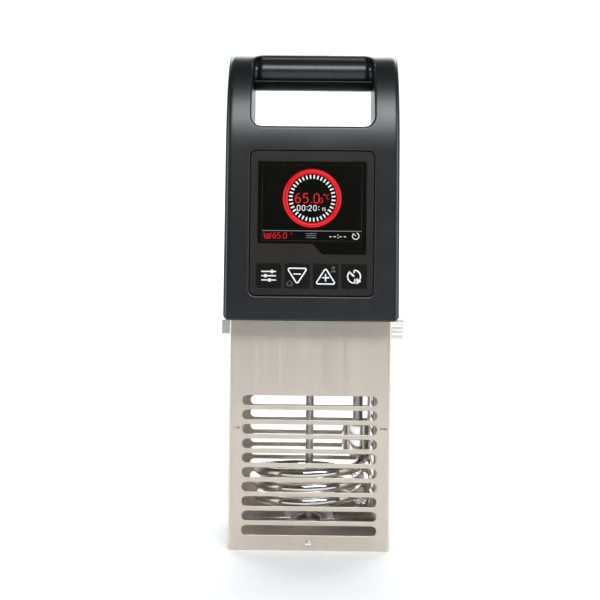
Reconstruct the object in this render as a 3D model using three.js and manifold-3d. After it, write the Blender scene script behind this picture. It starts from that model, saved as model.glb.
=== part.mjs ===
// Immersion circulator for sous vide cooking: a moulded head with a carrying handle, a slotted
// steel guard below it, and the heater, impeller and level float inside the guard.
// Millimetres, +Z up, front towards -Y. The origin is the centre of the guard's underside.

import * as THREE from 'three';
import * as BufferGeometryUtils from 'three/addons/utils/BufferGeometryUtils.js';
import Module from 'manifold-3d';

const wasm = await Module();
wasm.setup();

// ---------------------------------------------------------------- driving dimensions

const gap = 0.3; // assembly gap between pieces that touch
const runningGap = 0.35; // clearance round what slides or turns

// guard sleeve
const sleeveWidth = 117;
const sleeveDepth = 110;
const sleeveHeight = 166;
const sheet = 1.2;
const sleeveCornerCut = 2;
const slotCount = 10;
const rearSlotCount = 8;
const slotLength = 97.4;
const slotHeight = 7;
const slotPitch = 10.41;
const lowestSlotRise = 14.6;
const tabSlotLength = 5;
const tabSlotHeight = 1.5;
const tabSlotRise = 88.3;
const tabSlotSpread = 106;

// head casing
const headWidth = 124;
const headDepth = 140;
const headHeight = 194.6;
const headOverhang = 21; // how far the head stands in front of the sleeve
const headWall = 2.5;
const headDraft = 1.15; // how much each side leans in towards the top
const headLowCorner = 4.5;
const headTopCorner = 3;
const frontEdgeRadius = 3;
const rearEdgeRadius = 9;
const crownSetback = 40; // how far the highest line lies behind the front
const crownRise = 76; // height of the curved part of the front
const rearCurveRise = 71;
const headFoot = 0.4; // gap between the sleeve's top edge and the head's lower edge

// handle
const openingWidth = 86.8;
const openingDrop = 58; // from the head's top down to the floor of the finger opening
const openingSkin = 3.5; // thickness left over the opening in front of the grip
const openingCorner = 7.6;
const gripDepth = 32;
const gripHeight = 25.2;
const gripTopDrop = 1.2;
const gripSetback = 39; // from the head's front to the middle of the grip
const gripSplitRise = 5.7; // height of the lower grip cover
const seamBehindGrip = 6;

// front panel, window and keys
const panelHeight = 101;
const panelRise = 17.9; // above the head's lower edge
const panelThickness = 1.2;
const panelSink = 0.6; // how far the panel lies below the face
const panelMargin = 0.7;
const panelCorner = 4;
const pocketClearance = 0.4;
const windowWidth = 76;
const windowHeight = 57.7;
const windowTopMargin = 7.2;
const windowTab = 7.4; // depth of the step below the window's right half
const windowStepX = 0.4;
const windowCorner = 1.5;
const screenWidth = 70;
const screenHeight = 54;
const screenTopMargin = 9.7;
const keyCount = 4;
const keySize = 17;
const keySpacing = 2.95;
const keySideMargin = 4.875; // from the outer keys to the panel's sides
const keyRise = 13.4; // key centre above the panel's lower edge
const keyThickness = 1;
const keyCorner = 1.6;
const keyTravel = 0.5;
const keyProud = 0.15;
const plungerSize = 9;
const plungerLength = 8.2;

// drive train
const shaftRadius = 3;
const impellerRadius = 18.75;
const impellerHeight = 5;
const impellerRise = 13;
const impellerHubRadius = 5;
const bladeCount = 6;
const bladeThickness = 1.4;
const nutHeight = 3.6;
const nutRadius = 5;
const couplingRadius = 7;
const couplingLength = 15;
const couplingRise = 8; // above the head's lower edge
const motorRadius = 24;
const motorLength = 46;
const motorWall = 3;
const rotorCoreRadius = 15;
const fanRadius = 26;
const fanHubRadius = 9;
const fanHeight = 11;
const fanBladeCount = 7;
const fanLift = 5; // above the motor

// heater
const heaterTubeRadius = 3.7;
const heaterCoilRadius = 39;
const heaterTurns = 3;
const heaterPitch = 10.3;
const heaterFirstRise = 24.3;
const heaterLegX = 48;
const legClearance = 0.4; // between the float and the heater's legs
const bushingRadius = 6;
const bushingLip = 0.8;

// level float and probe
const stemRadius = 3.8;
const stemX = 37;
const stemY = 0;
const floatRadius = 12.4;
const floatHeight = 24;
const floatClearance = 0.4; // between the coil and the stem's lower end
const floatTravel = 20;
const stopRadius = 6;
const stopHeight = 2.4;
const stemEnd = 1; // length of stem below the lower stop
const probeRadius = 2.75;
const probeX = 46.5;
const probeY = -32;
const probeTipRise = 66;

// head floor and deck
const baseThickness = 4;
const baseLift = 1; // floor above the head's lower edge
const deckThickness = 2;
const deckFlange = 14;
const gasketThickness = 0.8;
const gasketWidth = 14;
const gasketInset = 1;

// boards
const boardThickness = 1.6;
const controlBoardWidth = 84;
const controlBoardHeight = 98;
const powerBoardWidth = 88;
const powerBoardHeight = 104;

// rear fittings
const ventCount = 6;
const ventLength = 56;
const ventHeight = 3;
const ventPitch = 7;
const ventDrop = 92; // below the head's top
const rockerX = -32;
const rockerRise = 46;
const rockerWidth = 8.4;
const rockerHeight = 14;
const rockerSwingGap = 1.1;
const rockerFrameWall = 1.6;
const glandX = 32;
const glandRise = 40;
const glandRadius = 8;
const glandBore = 4.5;
const caseScrewInset = 8;
const caseScrewRise = 11.5;
const caseScrewTopDrop = 69;
const postRadius = 4.4;

// clamp
const rodRadius = 4;
const rodDrop = 8.2; // rod axis below the sleeve's top edge
const rodSetback = 11; // rod axis behind the sleeve
const rodLeftEnd = 74;
const blockLength = 9;
const blockSize = 12.4;
const knobRadius = 9.15;
const knobLength = 12.6;
const knobOuterEnd = 77;
const knobRidges = 14;
const bracketWidth = 76;
const bracketPlate = 2;
const earThickness = 3;
const earRim = 3; // metal left round the rod
const jawWidth = 56;
const jawPlate = 2.5;
const jawLength = 56;
const knuckleWall = 2;
const knuckleLength = 12;
const padWidth = 44;
const padHeight = 20;
const padThickness = 6;

// fasteners
const screwHeadRadius = 3.2;
const screwHeadHeight = 1.6;
const screwShankRadius = 1.6;
const screwClearance = 0.4;
const screwSlotWidth = 0.8;
const baseScrewRise = 5.3;
const baseScrewHeadRadius = 2.4;
const baseFlange = 10;

// places worked out from the dimensions above
const sleeveFront = -sleeveDepth / 2;
const sleeveRear = sleeveDepth / 2;
const sleeveInner = sleeveWidth / 2 - sheet;
const headBottom = sleeveHeight + headFoot;
const headTop = headBottom + headHeight;
const headFront = sleeveFront - headOverhang;
const headRear = headFront + headDepth;
const openingFloor = headTop - openingDrop;
const gripY = headFront + gripSetback;
const gripZ = headTop - gripTopDrop - gripHeight / 2;
const gripSplit = gripZ - gripHeight / 2 + gripSplitRise;
const gripRear = gripY + gripDepth / 2;
const headSeam = gripRear + seamBehindGrip;
const baseBottom = headBottom + baseLift;
const baseTop = baseBottom + baseThickness;
const gasketTop = baseBottom - gap;
const deckTop = gasketTop - gasketThickness - gap;
const deckBottom = deckTop - deckThickness;
const keyPitch = keySize + keySpacing;
const panelWidth = (keyCount - 1) * keyPitch + keySize + 2 * keySideMargin;
const panelBottom = headBottom + panelRise;
const panelTop = panelBottom + panelHeight;
const panelFront = headFront + panelSink;
const panelBack = panelFront + panelThickness;
const pocketFloor = panelBack + pocketClearance;
const pocketBack = pocketFloor + headWall;
const windowTop = panelTop - windowTopMargin;
const keyZ = panelBottom + keyRise;
const couplingBottom = headBottom + couplingRise;
const couplingTop = couplingBottom + couplingLength;
const motorBracketBottom = couplingTop + 1;
const motorBracketTop = motorBracketBottom + headWall;
const motorBottom = motorBracketTop + gap;
const motorTop = motorBottom + motorLength;
const coilTop = heaterFirstRise + heaterTurns * heaterPitch + heaterTubeRadius;
const floatRise = coilTop + floatClearance + stemEnd + stopHeight + gap;
const heaterLegY = floatRadius + heaterTubeRadius + legClearance;
const rodY = sleeveRear + rodSetback;
const rodZ = sleeveHeight - rodDrop;
const knuckleRadius = rodRadius + knuckleWall;

// ---------------------------------------------------------------- solids from outlines

const roundSides = 20;
const smallSides = 8;
const arcSteps = 2; // steps in each quarter of a small corner
const mergeDistance = 1e-4;

function solid(geometry) {
  const bare = geometry.clone();
  bare.deleteAttribute('normal');
  bare.deleteAttribute('uv');
  const merged = BufferGeometryUtils.mergeVertices(bare, mergeDistance);
  const places = merged.attributes.position.array;
  const corners = [];
  let volume = 0;
  const a = new THREE.Vector3();
  const b = new THREE.Vector3();
  const c = new THREE.Vector3();
  for (let i = 0; i < merged.index.count; i += 3) {
    const [p, q, r] = merged.index.array.slice(i, i + 3);
    if (p !== q && q !== r && r !== p) {
      corners.push(p, q, r);
      a.fromArray(places, 3 * p);
      b.fromArray(places, 3 * q);
      c.fromArray(places, 3 * r);
      volume += a.dot(b.cross(c));
    }
  }
  const triVerts = Uint32Array.from(volume < 0 ? corners.reverse() : corners);
  const vertProperties = Float32Array.from(places);
  return new wasm.Manifold(new wasm.Mesh({ numProp: 3, vertProperties, triVerts }));
}

function geometryOf(piece) {
  const mesh = piece.getMesh();
  const geometry = new THREE.BufferGeometry();
  geometry.setAttribute('position', new THREE.BufferAttribute(mesh.vertProperties, 3));
  geometry.setIndex(new THREE.BufferAttribute(mesh.triVerts, 1));
  geometry.computeVertexNormals();
  return geometry;
}

function extruded(shape, depth, curveSegments) {
  return new THREE.ExtrudeGeometry(shape, { depth, bevelEnabled: false, curveSegments });
}

// a shape drawn in X and Y, raised along Z
function prismZ(shape, z0, z1, curveSegments = arcSteps / 2) {
  return solid(extruded(shape, z1 - z0, curveSegments).translate(0, 0, z0));
}

// a shape drawn in X and Z, drawn out along Y
function prismY(shape, y0, y1, curveSegments = arcSteps / 2) {
  return solid(extruded(shape, y1 - y0, curveSegments).rotateX(Math.PI / 2).translate(0, y1, 0));
}

// a shape drawn in Y and Z, drawn out along X
function prismX(shape, x0, x1, curveSegments = arcSteps / 2) {
  const turn = new THREE.Matrix4().set(0, 0, 1, x0, 1, 0, 0, 0, 0, 1, 0, 0, 0, 0, 0, 1);
  return solid(extruded(shape, x1 - x0, curveSegments).applyMatrix4(turn));
}

function block(x0, x1, y0, y1, z0, z1) {
  const box = new THREE.BoxGeometry(x1 - x0, y1 - y0, z1 - z0);
  return solid(box.translate((x0 + x1) / 2, (y0 + y1) / 2, (z0 + z1) / 2));
}

// a closed profile of [radius, height] pairs turned about the Z axis
function turned(profile, sides = roundSides) {
  const points = profile.map(([radius, height]) => new THREE.Vector2(radius, height));
  points.push(points[0].clone());
  return solid(new THREE.LatheGeometry(points, sides).rotateX(Math.PI / 2));
}

function rod(radius, z0, z1, sides = roundSides) {
  return turned([[0, z0], [radius, z0], [radius, z1], [0, z1]], sides);
}

function tube(inner, outer, z0, z1, sides = roundSides) {
  return turned([[inner, z0], [outer, z0], [outer, z1], [inner, z1]], sides);
}

function alongX(piece) {
  return piece.rotate([0, 90, 0]);
}

function alongY(piece) {
  return piece.rotate([-90, 0, 0]);
}

function joined(pieces) {
  return pieces.reduce((sum, piece) => sum.add(piece));
}

function without(piece, cuts) {
  return cuts.reduce((rest, cut) => rest.subtract(cut), piece);
}

// a rectangle with rounded corners between two opposite corners
function roundedBox(x0, y0, x1, y1, radius) {
  const shape = new THREE.Shape();
  shape.moveTo(x0 + radius, y0);
  shape.lineTo(x1 - radius, y0);
  shape.absarc(x1 - radius, y0 + radius, radius, -Math.PI / 2, 0);
  shape.lineTo(x1, y1 - radius);
  shape.absarc(x1 - radius, y1 - radius, radius, 0, Math.PI / 2);
  shape.lineTo(x0 + radius, y1);
  shape.absarc(x0 + radius, y1 - radius, radius, Math.PI / 2, Math.PI);
  shape.lineTo(x0, y0 + radius);
  shape.absarc(x0 + radius, y0 + radius, radius, Math.PI, 1.5 * Math.PI);
  return shape;
}

function obround(middleX, middleY, length, height) {
  const [halfX, halfY] = [length / 2, height / 2];
  return roundedBox(middleX - halfX, middleY - halfY, middleX + halfX, middleY + halfY, halfY - 0.01);
}

// the same outline moved inwards by a wall's thickness
function insetShape(shape, inset, curveSegments) {
  const points = shape.getPoints(curveSegments);
  const unique = points.filter((p, i) => p.distanceTo(points[(i + 1) % points.length]) > 1e-3);
  const side = THREE.ShapeUtils.isClockWise(unique) ? 1 : -1;
  const moved = unique.map((point, i) => {
    const before = unique[(i + unique.length - 1) % unique.length];
    const after = unique[(i + 1) % unique.length];
    const inward = (from, to) => new THREE.Vector2(to.y - from.y, from.x - to.x).normalize();
    const n1 = inward(before, point);
    const n2 = inward(point, after);
    const mitre = n1.clone().add(n2);
    return point.clone().addScaledVector(mitre, side * (2 * inset) / mitre.lengthSq());
  });
  return new THREE.Shape(moved);
}

// ---------------------------------------------------------------- materials

function finish(color, roughness, metalness) {
  return () => new THREE.MeshStandardMaterial({ color, roughness, metalness });
}

const blackPlastic = finish(0x2b2b2e, 0.42, 0);
const panelFilm = finish(0x2f2b28, 0.35, 0);
const blackGlass = finish(0x070708, 0.08, 0);
const keyFilm = finish(0x24221f, 0.4, 0);
const boardGreen = finish(0x1d5a3a, 0.5, 0);
const satinSteel = finish(0xbfb9ae, 0.35, 1);
const polishedSteel = finish(0xd4d2ce, 0.12, 1);
const castAluminium = finish(0xa8aaad, 0.5, 1);
const blackRubber = finish(0x151516, 0.85, 0);
const whitePlastic = finish(0xd9d7d2, 0.55, 0);

const object = new THREE.Group();

function place(parent, name, piece, material, position = [0, 0, 0], rotation = [0, 0, 0]) {
  const mesh = new THREE.Mesh(geometryOf(piece), material());
  mesh.name = name;
  mesh.position.set(...position);
  mesh.rotation.set(...rotation);
  parent.add(mesh);
}

// ---------------------------------------------------------------- head casing

const crownStart = headTop - crownRise;
const rearCurveStart = headTop - rearCurveRise;
const casingCurve = 7;
const cornerCurve = 2;

function sideOutline(bottom) {
  const crownY = headFront + crownSetback;
  const frontPull = 0.55 * crownRise;
  const topPull = 0.6 * crownSetback;
  const shape = new THREE.Shape();
  shape.moveTo(headFront, bottom);
  shape.lineTo(headRear, bottom);
  shape.lineTo(headRear, rearCurveStart);
  shape.bezierCurveTo(
    headRear, rearCurveStart + 0.75 * rearCurveRise,
    crownY + 0.55 * (headRear - crownY), headTop, crownY, headTop
  );
  shape.bezierCurveTo(crownY - topPull, headTop, headFront, crownStart + frontPull, headFront, crownStart);
  return shape;
}

const leastCorner = 0.4;
const innerCorner = (radius, inset) => Math.max(radius - inset, leastCorner);

function frontOutline(inset, bottom) {
  const low = headWidth / 2 - inset;
  const high = low - headDraft;
  const top = headTop - inset;
  const lowCorner = innerCorner(headLowCorner, inset);
  const topCorner = innerCorner(headTopCorner, inset);
  const shape = new THREE.Shape();
  shape.moveTo(-low + lowCorner, bottom);
  shape.lineTo(low - lowCorner, bottom);
  shape.quadraticCurveTo(low, bottom, low, bottom + lowCorner);
  shape.lineTo(high, top - topCorner);
  shape.quadraticCurveTo(high, top, high - topCorner, top);
  shape.lineTo(-high + topCorner, top);
  shape.quadraticCurveTo(-high, top, -high, top - topCorner);
  shape.lineTo(-low, bottom + lowCorner);
  shape.quadraticCurveTo(-low, bottom, -low + lowCorner, bottom);
  return shape;
}

function planOutline(inset) {
  const wide = headWidth / 2 - inset;
  const near = headFront + inset;
  const far = headRear - inset;
  const front = innerCorner(frontEdgeRadius, inset);
  const rear = innerCorner(rearEdgeRadius, inset);
  const shape = new THREE.Shape();
  shape.moveTo(-wide + front, near);
  shape.lineTo(wide - front, near);
  shape.absarc(wide - front, near + front, front, -Math.PI / 2, 0);
  shape.lineTo(wide, far - rear);
  shape.absarc(wide - rear, far - rear, rear, 0, Math.PI / 2);
  shape.lineTo(-wide + rear, far);
  shape.absarc(-wide + rear, far - rear, rear, Math.PI / 2, Math.PI);
  shape.lineTo(-wide, near + front);
  shape.absarc(-wide + front, near + front, front, Math.PI, 1.5 * Math.PI);
  return shape;
}

// the closed shape of the whole head, moved inwards by a wall
function headBody(inset, bottom) {
  const side = insetShape(sideOutline(bottom), inset, casingCurve);
  return prismX(side, -headWidth, headWidth)
    .intersect(prismY(frontOutline(inset, bottom), headFront - 1, headRear + 1, cornerCurve))
    .intersect(prismZ(planOutline(inset), bottom - 1, headTop + 1, cornerCurve));
}

const openingHalf = openingWidth / 2;
const aboveHead = headTop + 20;

function openingCut(grow, top, y0, y1) {
  const side = openingHalf + grow;
  const shape = roundedBox(-side, openingFloor - grow, side, top, openingCorner + grow);
  return prismY(shape, y0, y1, arcSteps);
}

const gripSteps = 9;

function gripBar(shrink, halfLength) {
  const bar = new THREE.Shape();
  bar.absellipse(gripY, gripZ, gripDepth / 2 - shrink, gripHeight / 2 - shrink, 0, 2 * Math.PI, false, 0);
  return prismX(bar, -halfLength, halfLength, gripSteps);
}

const farSide = 400;
const behind = (y) => block(-farSide, farSide, y, farSide, -farSide, 2 * farSide);
const above = (z) => block(-farSide, farSide, -farSide, farSide, z, 2 * farSide);

const casingSkin = without(headBody(0, headBottom), [
  openingCut(0, headTop - openingSkin, headFront - 1, gripRear),
  openingCut(0, aboveHead, gripRear - gap, headRear + 1),
]);
const hollowFoot = headBottom - 2 * headLowCorner;
const casingHollow = headBody(headWall, hollowFoot)
  .subtract(openingCut(headWall, aboveHead, headFront - 1, headRear + 1));
const casing = casingSkin.subtract(casingHollow);

const casePostX = headWidth / 2 - caseScrewInset;
const casePosts = [];
for (const x of [-casePostX, casePostX]) {
  for (const z of [headBottom + caseScrewRise, headTop - caseScrewTopDrop]) {
    casePosts.push([x, z]);
  }
}
const postEnd = headRear - headWall - gap;
const postStart = headFront + headWall / 2;
const screwBore = screwShankRadius + screwClearance;
const postTube = alongY(tube(screwBore, postRadius, 0, postEnd - postStart, smallSides));
const casePost = ([x, z]) => postTube.translate([x, postStart, z]);

const keyPlaces = [];
for (let i = 0; i < keyCount; i += 1) {
  keyPlaces.push((i - (keyCount - 1) / 2) * keyPitch);
}

const half = (size) => size / 2;
const panelShape = (grow) => roundedBox(
  -half(panelWidth) - grow, panelBottom - grow, half(panelWidth) + grow, panelTop + grow, panelCorner + grow
);
const keyShape = (size, radius) => roundedBox(-half(size), -half(size), half(size), half(size), radius);
const keyHole = (x, size, radius, y0, y1) => prismY(keyShape(size, radius), y0, y1).translate([x, 0, keyZ]);
const screenTop = panelTop - screenTopMargin;
const screenBox = (grow) => [-half(screenWidth) - grow, half(screenWidth) + grow];

const frontRegion = casing.subtract(behind(headSeam - gap / 2));
const panelBacking = prismY(panelShape(panelMargin + headWall), headFront + headWall / 2, pocketBack);
const upperGrip = gripBar(0, openingHalf + headWall / 2).intersect(above(gripSplit));
const frontShell = without(joined([frontRegion, panelBacking, upperGrip, ...casePosts.map(casePost)]), [
  prismY(panelShape(panelMargin), headFront - 1, pocketFloor),
  block(...screenBox(1), headFront, pocketBack + 1, screenTop - screenHeight - 1, screenTop + 1),
  ...keyPlaces.map((x) => keyHole(x, plungerSize + 2 * gap, 1, headFront, pocketBack + 1)),
]);

const rearHoles = [];
for (const [x, z] of casePosts) {
  const hole = rod(screwBore, -headWall - 1, 1, smallSides);
  rearHoles.push(alongY(hole).translate([x, headRear, z]));
}
for (let i = 0; i < ventCount; i += 1) {
  const z = headTop - ventDrop - i * ventPitch;
  rearHoles.push(prismY(obround(0, z, ventLength, ventHeight), headRear - headWall - 1, headRear + 1));
}
const rockerZ = headBottom + rockerRise;
const glandZ = headBottom + glandRise;
const framePocketWidth = rockerWidth + 2 * (gap + rockerFrameWall);
const framePocketHeight = rockerHeight + 2 * (rockerSwingGap + rockerFrameWall);
rearHoles.push(block(
  rockerX - half(framePocketWidth) - gap, rockerX + half(framePocketWidth) + gap,
  headRear - headWall - 1, headRear + 1,
  rockerZ - half(framePocketHeight) - gap, rockerZ + half(framePocketHeight) + gap
));
rearHoles.push(alongY(rod(glandRadius + gap, -headWall - 1, 1)).translate([glandX, headRear, glandZ]));
const rearSlab = casing.intersect(behind(headSeam + gap / 2));
const postRoom = alongY(rod(postRadius + gap, headFront, postEnd + gap, smallSides));
const frontPosts = casePosts.map(([x, z]) => postRoom.translate([x, 0, z]));
const rearShell = without(rearSlab, [...rearHoles, ...frontPosts]);

const head = new THREE.Group();
object.add(head);
place(head, 'front_shell', frontShell, blackPlastic);
place(head, 'rear_shell', rearShell, blackPlastic);
const lowerGrip = gripBar(gap, openingHalf - gap).subtract(above(gripSplit - gap));
place(head, 'grip_lower', lowerGrip, blackPlastic);

const screwSlot = (radius, height) => block(
  -half(screwSlotWidth), half(screwSlotWidth), -radius - 1, radius + 1, height / 2, height + 1
);

// a slotted screw along Z, its head on the positive side of z = 0
function screw(headRadius, shankRadius, shankLength) {
  const height = screwHeadHeight;
  const profile = [
    [0, -shankLength], [shankRadius, -shankLength], [shankRadius, 0],
    [headRadius, 0], [headRadius, 0.6 * height], [0.7 * headRadius, height], [0, height],
  ];
  return turned(profile, smallSides).subtract(screwSlot(headRadius, height));
}

const quarterTurn = Math.PI / 2;
const caseScrew = screw(screwHeadRadius, screwShankRadius, 14);
casePosts.forEach(([x, z], i) => {
  place(head, `case_screw_${i + 1}`, caseScrew, satinSteel, [x, headRear + gap, z], [-quarterTurn, 0, 0]);
});

// ---------------------------------------------------------------- panel, window, keys, screen

function windowShape(grow) {
  const [left, right] = [-half(windowWidth) - grow, half(windowWidth) + grow];
  const low = windowTop - windowHeight - grow;
  const tabLow = low - windowTab;
  const step = windowStepX + grow / 2;
  const shape = new THREE.Shape();
  shape.moveTo(left, windowTop + grow);
  shape.lineTo(left, low + windowCorner);
  shape.quadraticCurveTo(left, low, left + windowCorner, low);
  shape.lineTo(step, low);
  shape.lineTo(step + 0.95 * windowTab, tabLow);
  shape.lineTo(right - windowCorner, tabLow);
  shape.quadraticCurveTo(right, tabLow, right, tabLow + windowCorner);
  shape.lineTo(right, windowTop + grow);
  return shape;
}

const controlPanel = without(prismY(panelShape(0), panelFront, panelBack), [
  prismY(windowShape(gap), panelFront - 1, panelBack + 1),
  ...keyPlaces.map((x) => keyHole(x, keySize + 2 * gap, keyCorner, panelFront - 1, panelBack + 1)),
]);
place(head, 'control_panel', controlPanel, panelFilm);
place(head, 'display_window', prismY(windowShape(0), panelFront + gap / 2, panelBack), blackGlass);

const moduleDepth = 9;
const moduleMargin = 3;
const screenFace = block(
  ...screenBox(0), panelBack + gap, pocketBack + 1, screenTop - screenHeight, screenTop
);
const moduleCase = block(
  ...screenBox(moduleMargin), pocketBack + gap, pocketBack + gap + moduleDepth,
  screenTop - screenHeight - moduleMargin, screenTop + moduleMargin
);
place(head, 'display_module', screenFace.add(moduleCase), whitePlastic);

const keyCap = prismY(keyShape(keySize, keyCorner), 0, keyThickness);
const plungerHalf = half(plungerSize);
const plunger = block(
  -plungerHalf, plungerHalf, keyThickness / 2, plungerLength, -plungerHalf, plungerHalf
);
const key = keyCap.add(plunger);
const keyFront = panelFront - keyProud;
['set_key', 'minus_key', 'plus_key', 'timer_key'].forEach((name, i) => {
  place(head, name, key, keyFilm, [keyPlaces[i], keyFront, keyZ]);
});

// ---------------------------------------------------------------- boards

const switchSize = 6;
const switchFront = keyFront + plungerLength + keyTravel + gap;
const controlBoardFront = pocketBack + gap + moduleDepth + gap;
const controlBoardBottom = panelBottom + gap;
const tactSwitches = keyPlaces.map((x) => block(
  x - half(switchSize), x + half(switchSize), switchFront, controlBoardFront + boardThickness / 2,
  keyZ - half(switchSize), keyZ + half(switchSize)
));
const controlBoard = joined([
  block(
    -half(controlBoardWidth), half(controlBoardWidth), controlBoardFront,
    controlBoardFront + boardThickness, controlBoardBottom, controlBoardBottom + controlBoardHeight
  ),
  ...tactSwitches,
]);
place(head, 'control_board', controlBoard, boardGreen);

const powerBoardFront = headRear - 20;
const powerBoardBottom = baseTop + 10;
const partsRise = 86; // height of the tall parts above the board's lower edge
const capacitor = (x, radius, length) => alongY(rod(radius, -length, 1, smallSides))
  .translate([x, powerBoardFront, powerBoardBottom + partsRise]);
const boardPart = (x, z, width, depth, height) => block(
  x, x + width, powerBoardFront - depth, powerBoardFront + 1,
  powerBoardBottom + z, powerBoardBottom + z + height
);
const largeCapacitor = capacitor(30, 7, 15);
const smallCapacitor = capacitor(12, 5, 12);
const transformer = boardPart(-36, 74, 24, 14, 22);
const relay = boardPart(30, 12, 12, 12, 18);
const powerBoard = joined([
  block(
    -half(powerBoardWidth), half(powerBoardWidth), powerBoardFront,
    powerBoardFront + boardThickness, powerBoardBottom, powerBoardBottom + powerBoardHeight
  ),
  largeCapacitor, smallCapacitor, transformer, relay,
]);
place(head, 'power_board', powerBoard, boardGreen);

const finCount = 6;
const finPitch = 5;
const finThickness = 1.6;
const finLength = 16;
const sinkBottom = powerBoardBottom + 8;
const sinkTop = sinkBottom + 52;
const sinkBack = powerBoardFront - gap;
const sinkLeft = -half(powerBoardWidth) + 2;
const fins = [];
for (let i = 0; i < finCount; i += 1) {
  const x = sinkLeft + i * finPitch;
  fins.push(block(x, x + finThickness, sinkBack - finLength, sinkBack - 1, sinkBottom, sinkTop));
}
const sinkRight = sinkLeft + (finCount - 1) * finPitch + finThickness;
fins.push(block(sinkLeft, sinkRight, sinkBack - 3, sinkBack, sinkBottom, sinkTop));
place(head, 'heat_sink', joined(fins), castAluminium);

// ---------------------------------------------------------------- rear fittings

const frameFlange = 2;
const frameDepth = 12;
const frameY = headRear + gap;
const rockerFrame = without(joined([
  block(
    rockerX - half(framePocketWidth) - frameFlange, rockerX + half(framePocketWidth) + frameFlange,
    frameY, frameY + 1.4,
    rockerZ - half(framePocketHeight) - frameFlange, rockerZ + half(framePocketHeight) + frameFlange
  ),
  block(
    rockerX - half(framePocketWidth), rockerX + half(framePocketWidth), frameY - frameDepth, frameY + 1,
    rockerZ - half(framePocketHeight), rockerZ + half(framePocketHeight)
  ),
]), [
  block(
    rockerX - half(rockerWidth) - gap, rockerX + half(rockerWidth) + gap,
    frameY - frameDepth - 1, frameY + 3,
    rockerZ - half(rockerHeight) - rockerSwingGap, rockerZ + half(rockerHeight) + rockerSwingGap
  ),
]);
place(head, 'rocker_frame', rockerFrame, blackPlastic);

const rockerDepth = 4;
const rockerLip = 1.8;
const rockerOutline = new THREE.Shape();
rockerOutline.moveTo(-rockerDepth, -0.4 * rockerHeight);
rockerOutline.lineTo(rockerLip, -half(rockerHeight));
rockerOutline.quadraticCurveTo(0.5 * rockerLip, 0, rockerLip, half(rockerHeight));
rockerOutline.lineTo(-rockerDepth, 0.4 * rockerHeight);
const rocker = prismX(rockerOutline, -half(rockerWidth), half(rockerWidth), 4);
place(head, 'rocker', rocker, blackPlastic, [rockerX, frameY, rockerZ]);

const glandFlange = 3;
const glandLength = 14; // inside the casing
const glandStep = 2; // end of the thread that stands out of the nut's seat
const glandNeck = glandRadius - 1;
const glandBody = turned([
  [glandBore, -glandLength], [glandRadius, -glandLength], [glandRadius, gap], [glandRadius + 3, gap],
  [glandRadius + 3, gap + glandFlange], [glandNeck, gap + glandFlange],
  [glandNeck, gap + glandFlange + glandStep], [glandBore, gap + glandFlange + glandStep],
]);
place(head, 'inlet_gland', glandBody, blackPlastic, [glandX, headRear, glandZ], [-quarterTurn, 0, 0]);
const nutStart = 2 * gap + glandFlange;
const nutSeat = nutStart + glandStep + 2 * gap;
const glandNutSkirt = 5;
const glandNutLength = 9;
const glandNut = turned([
  [glandNeck + gap, nutStart], [glandRadius + 2, nutStart], [glandRadius + 2, nutStart + glandNutSkirt],
  [glandBore + 2, nutStart + glandNutLength], [glandBore, nutStart + glandNutLength], [glandBore, nutSeat],
  [glandNeck + gap, nutSeat],
]);
place(head, 'gland_nut', glandNut, blackPlastic, [glandX, headRear, glandZ], [-quarterTurn, 0, 0]);

// ---------------------------------------------------------------- head floor, gasket, deck

const legPlaces = [[heaterLegX, -heaterLegY], [heaterLegX, heaterLegY]];
const floorHole = ([x, y], radius) => rod(radius, deckBottom - 1, baseTop + 1, 16).translate([x, y, 0]);
const bushSleeve = shaftRadius + runningGap + 4.5;
const floorHoles = [
  floorHole([0, 0], bushSleeve + gap),
  floorHole([stemX, stemY], stemRadius + gap),
  floorHole([probeX, probeY], probeRadius + 2 + gap),
  ...legPlaces.map((leg) => floorHole(leg, bushingRadius + gap)),
];
const bracketScrewSpread = 56;
const bracketFront = sleeveRear + 1;
const bracketBack = headRear - headWall - gap;
const bracketY = (bracketFront + bracketBack) / 2;
const bracketScrewPlaces = [-half(bracketScrewSpread), half(bracketScrewSpread)];
const bracketScrewHoles = bracketScrewPlaces.map((x) => floorHole([x, bracketY], screwBore));
const headBase = without(prismZ(planOutline(headWall + gap), baseBottom, baseTop, cornerCurve), [
  ...floorHoles, ...bracketScrewHoles, ...frontPosts,
]);
const wet = new THREE.Group();
object.add(wet);
place(head, 'head_base', headBase, blackPlastic);

const gasketOuter = [half(sleeveWidth) - sheet - gasketInset, half(sleeveDepth) - sheet - gasketInset];
const gasketBottom = gasketTop - gasketThickness;
const gasketShape = (inset, corner) => {
  const [x, y] = gasketOuter.map((outer) => outer - inset);
  return roundedBox(-x, -y, x, y, corner);
};
const gasket = prismZ(gasketShape(0, 6), gasketBottom, gasketTop)
  .subtract(prismZ(gasketShape(gasketWidth, 3), gasketBottom - 1, gasketTop + 1));
place(wet, 'head_gasket', without(gasket, floorHoles), blackRubber);

const deckHalfX = sleeveInner - gap;
const deckHalfY = half(sleeveDepth) - sheet - gap;
const deckScrewY = 34;
const deckScrewZ = deckTop - 0.6 * deckFlange;
const guardScrewPlaces = [];
for (const side of [-1, 1]) {
  for (const y of [-deckScrewY, deckScrewY]) {
    guardScrewPlaces.push([side, y]);
  }
}
const sideHole = ([side, y]) => alongX(rod(screwBore, 0, sleeveWidth, smallSides))
  .translate([side > 0 ? 0 : -sleeveWidth, y, deckScrewZ]);
const deckPlate = without(block(
  -deckHalfX, deckHalfX, -deckHalfY, deckHalfY, deckTop - deckFlange, deckTop
), [
  block(
    -deckHalfX + deckThickness, deckHalfX - deckThickness, -deckHalfY - 1, deckHalfY + 1,
    deckTop - deckFlange - 1, deckBottom
  ),
  ...floorHoles,
  ...guardScrewPlaces.map(sideHole),
]);
place(wet, 'deck_plate', deckPlate, satinSteel);

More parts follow.
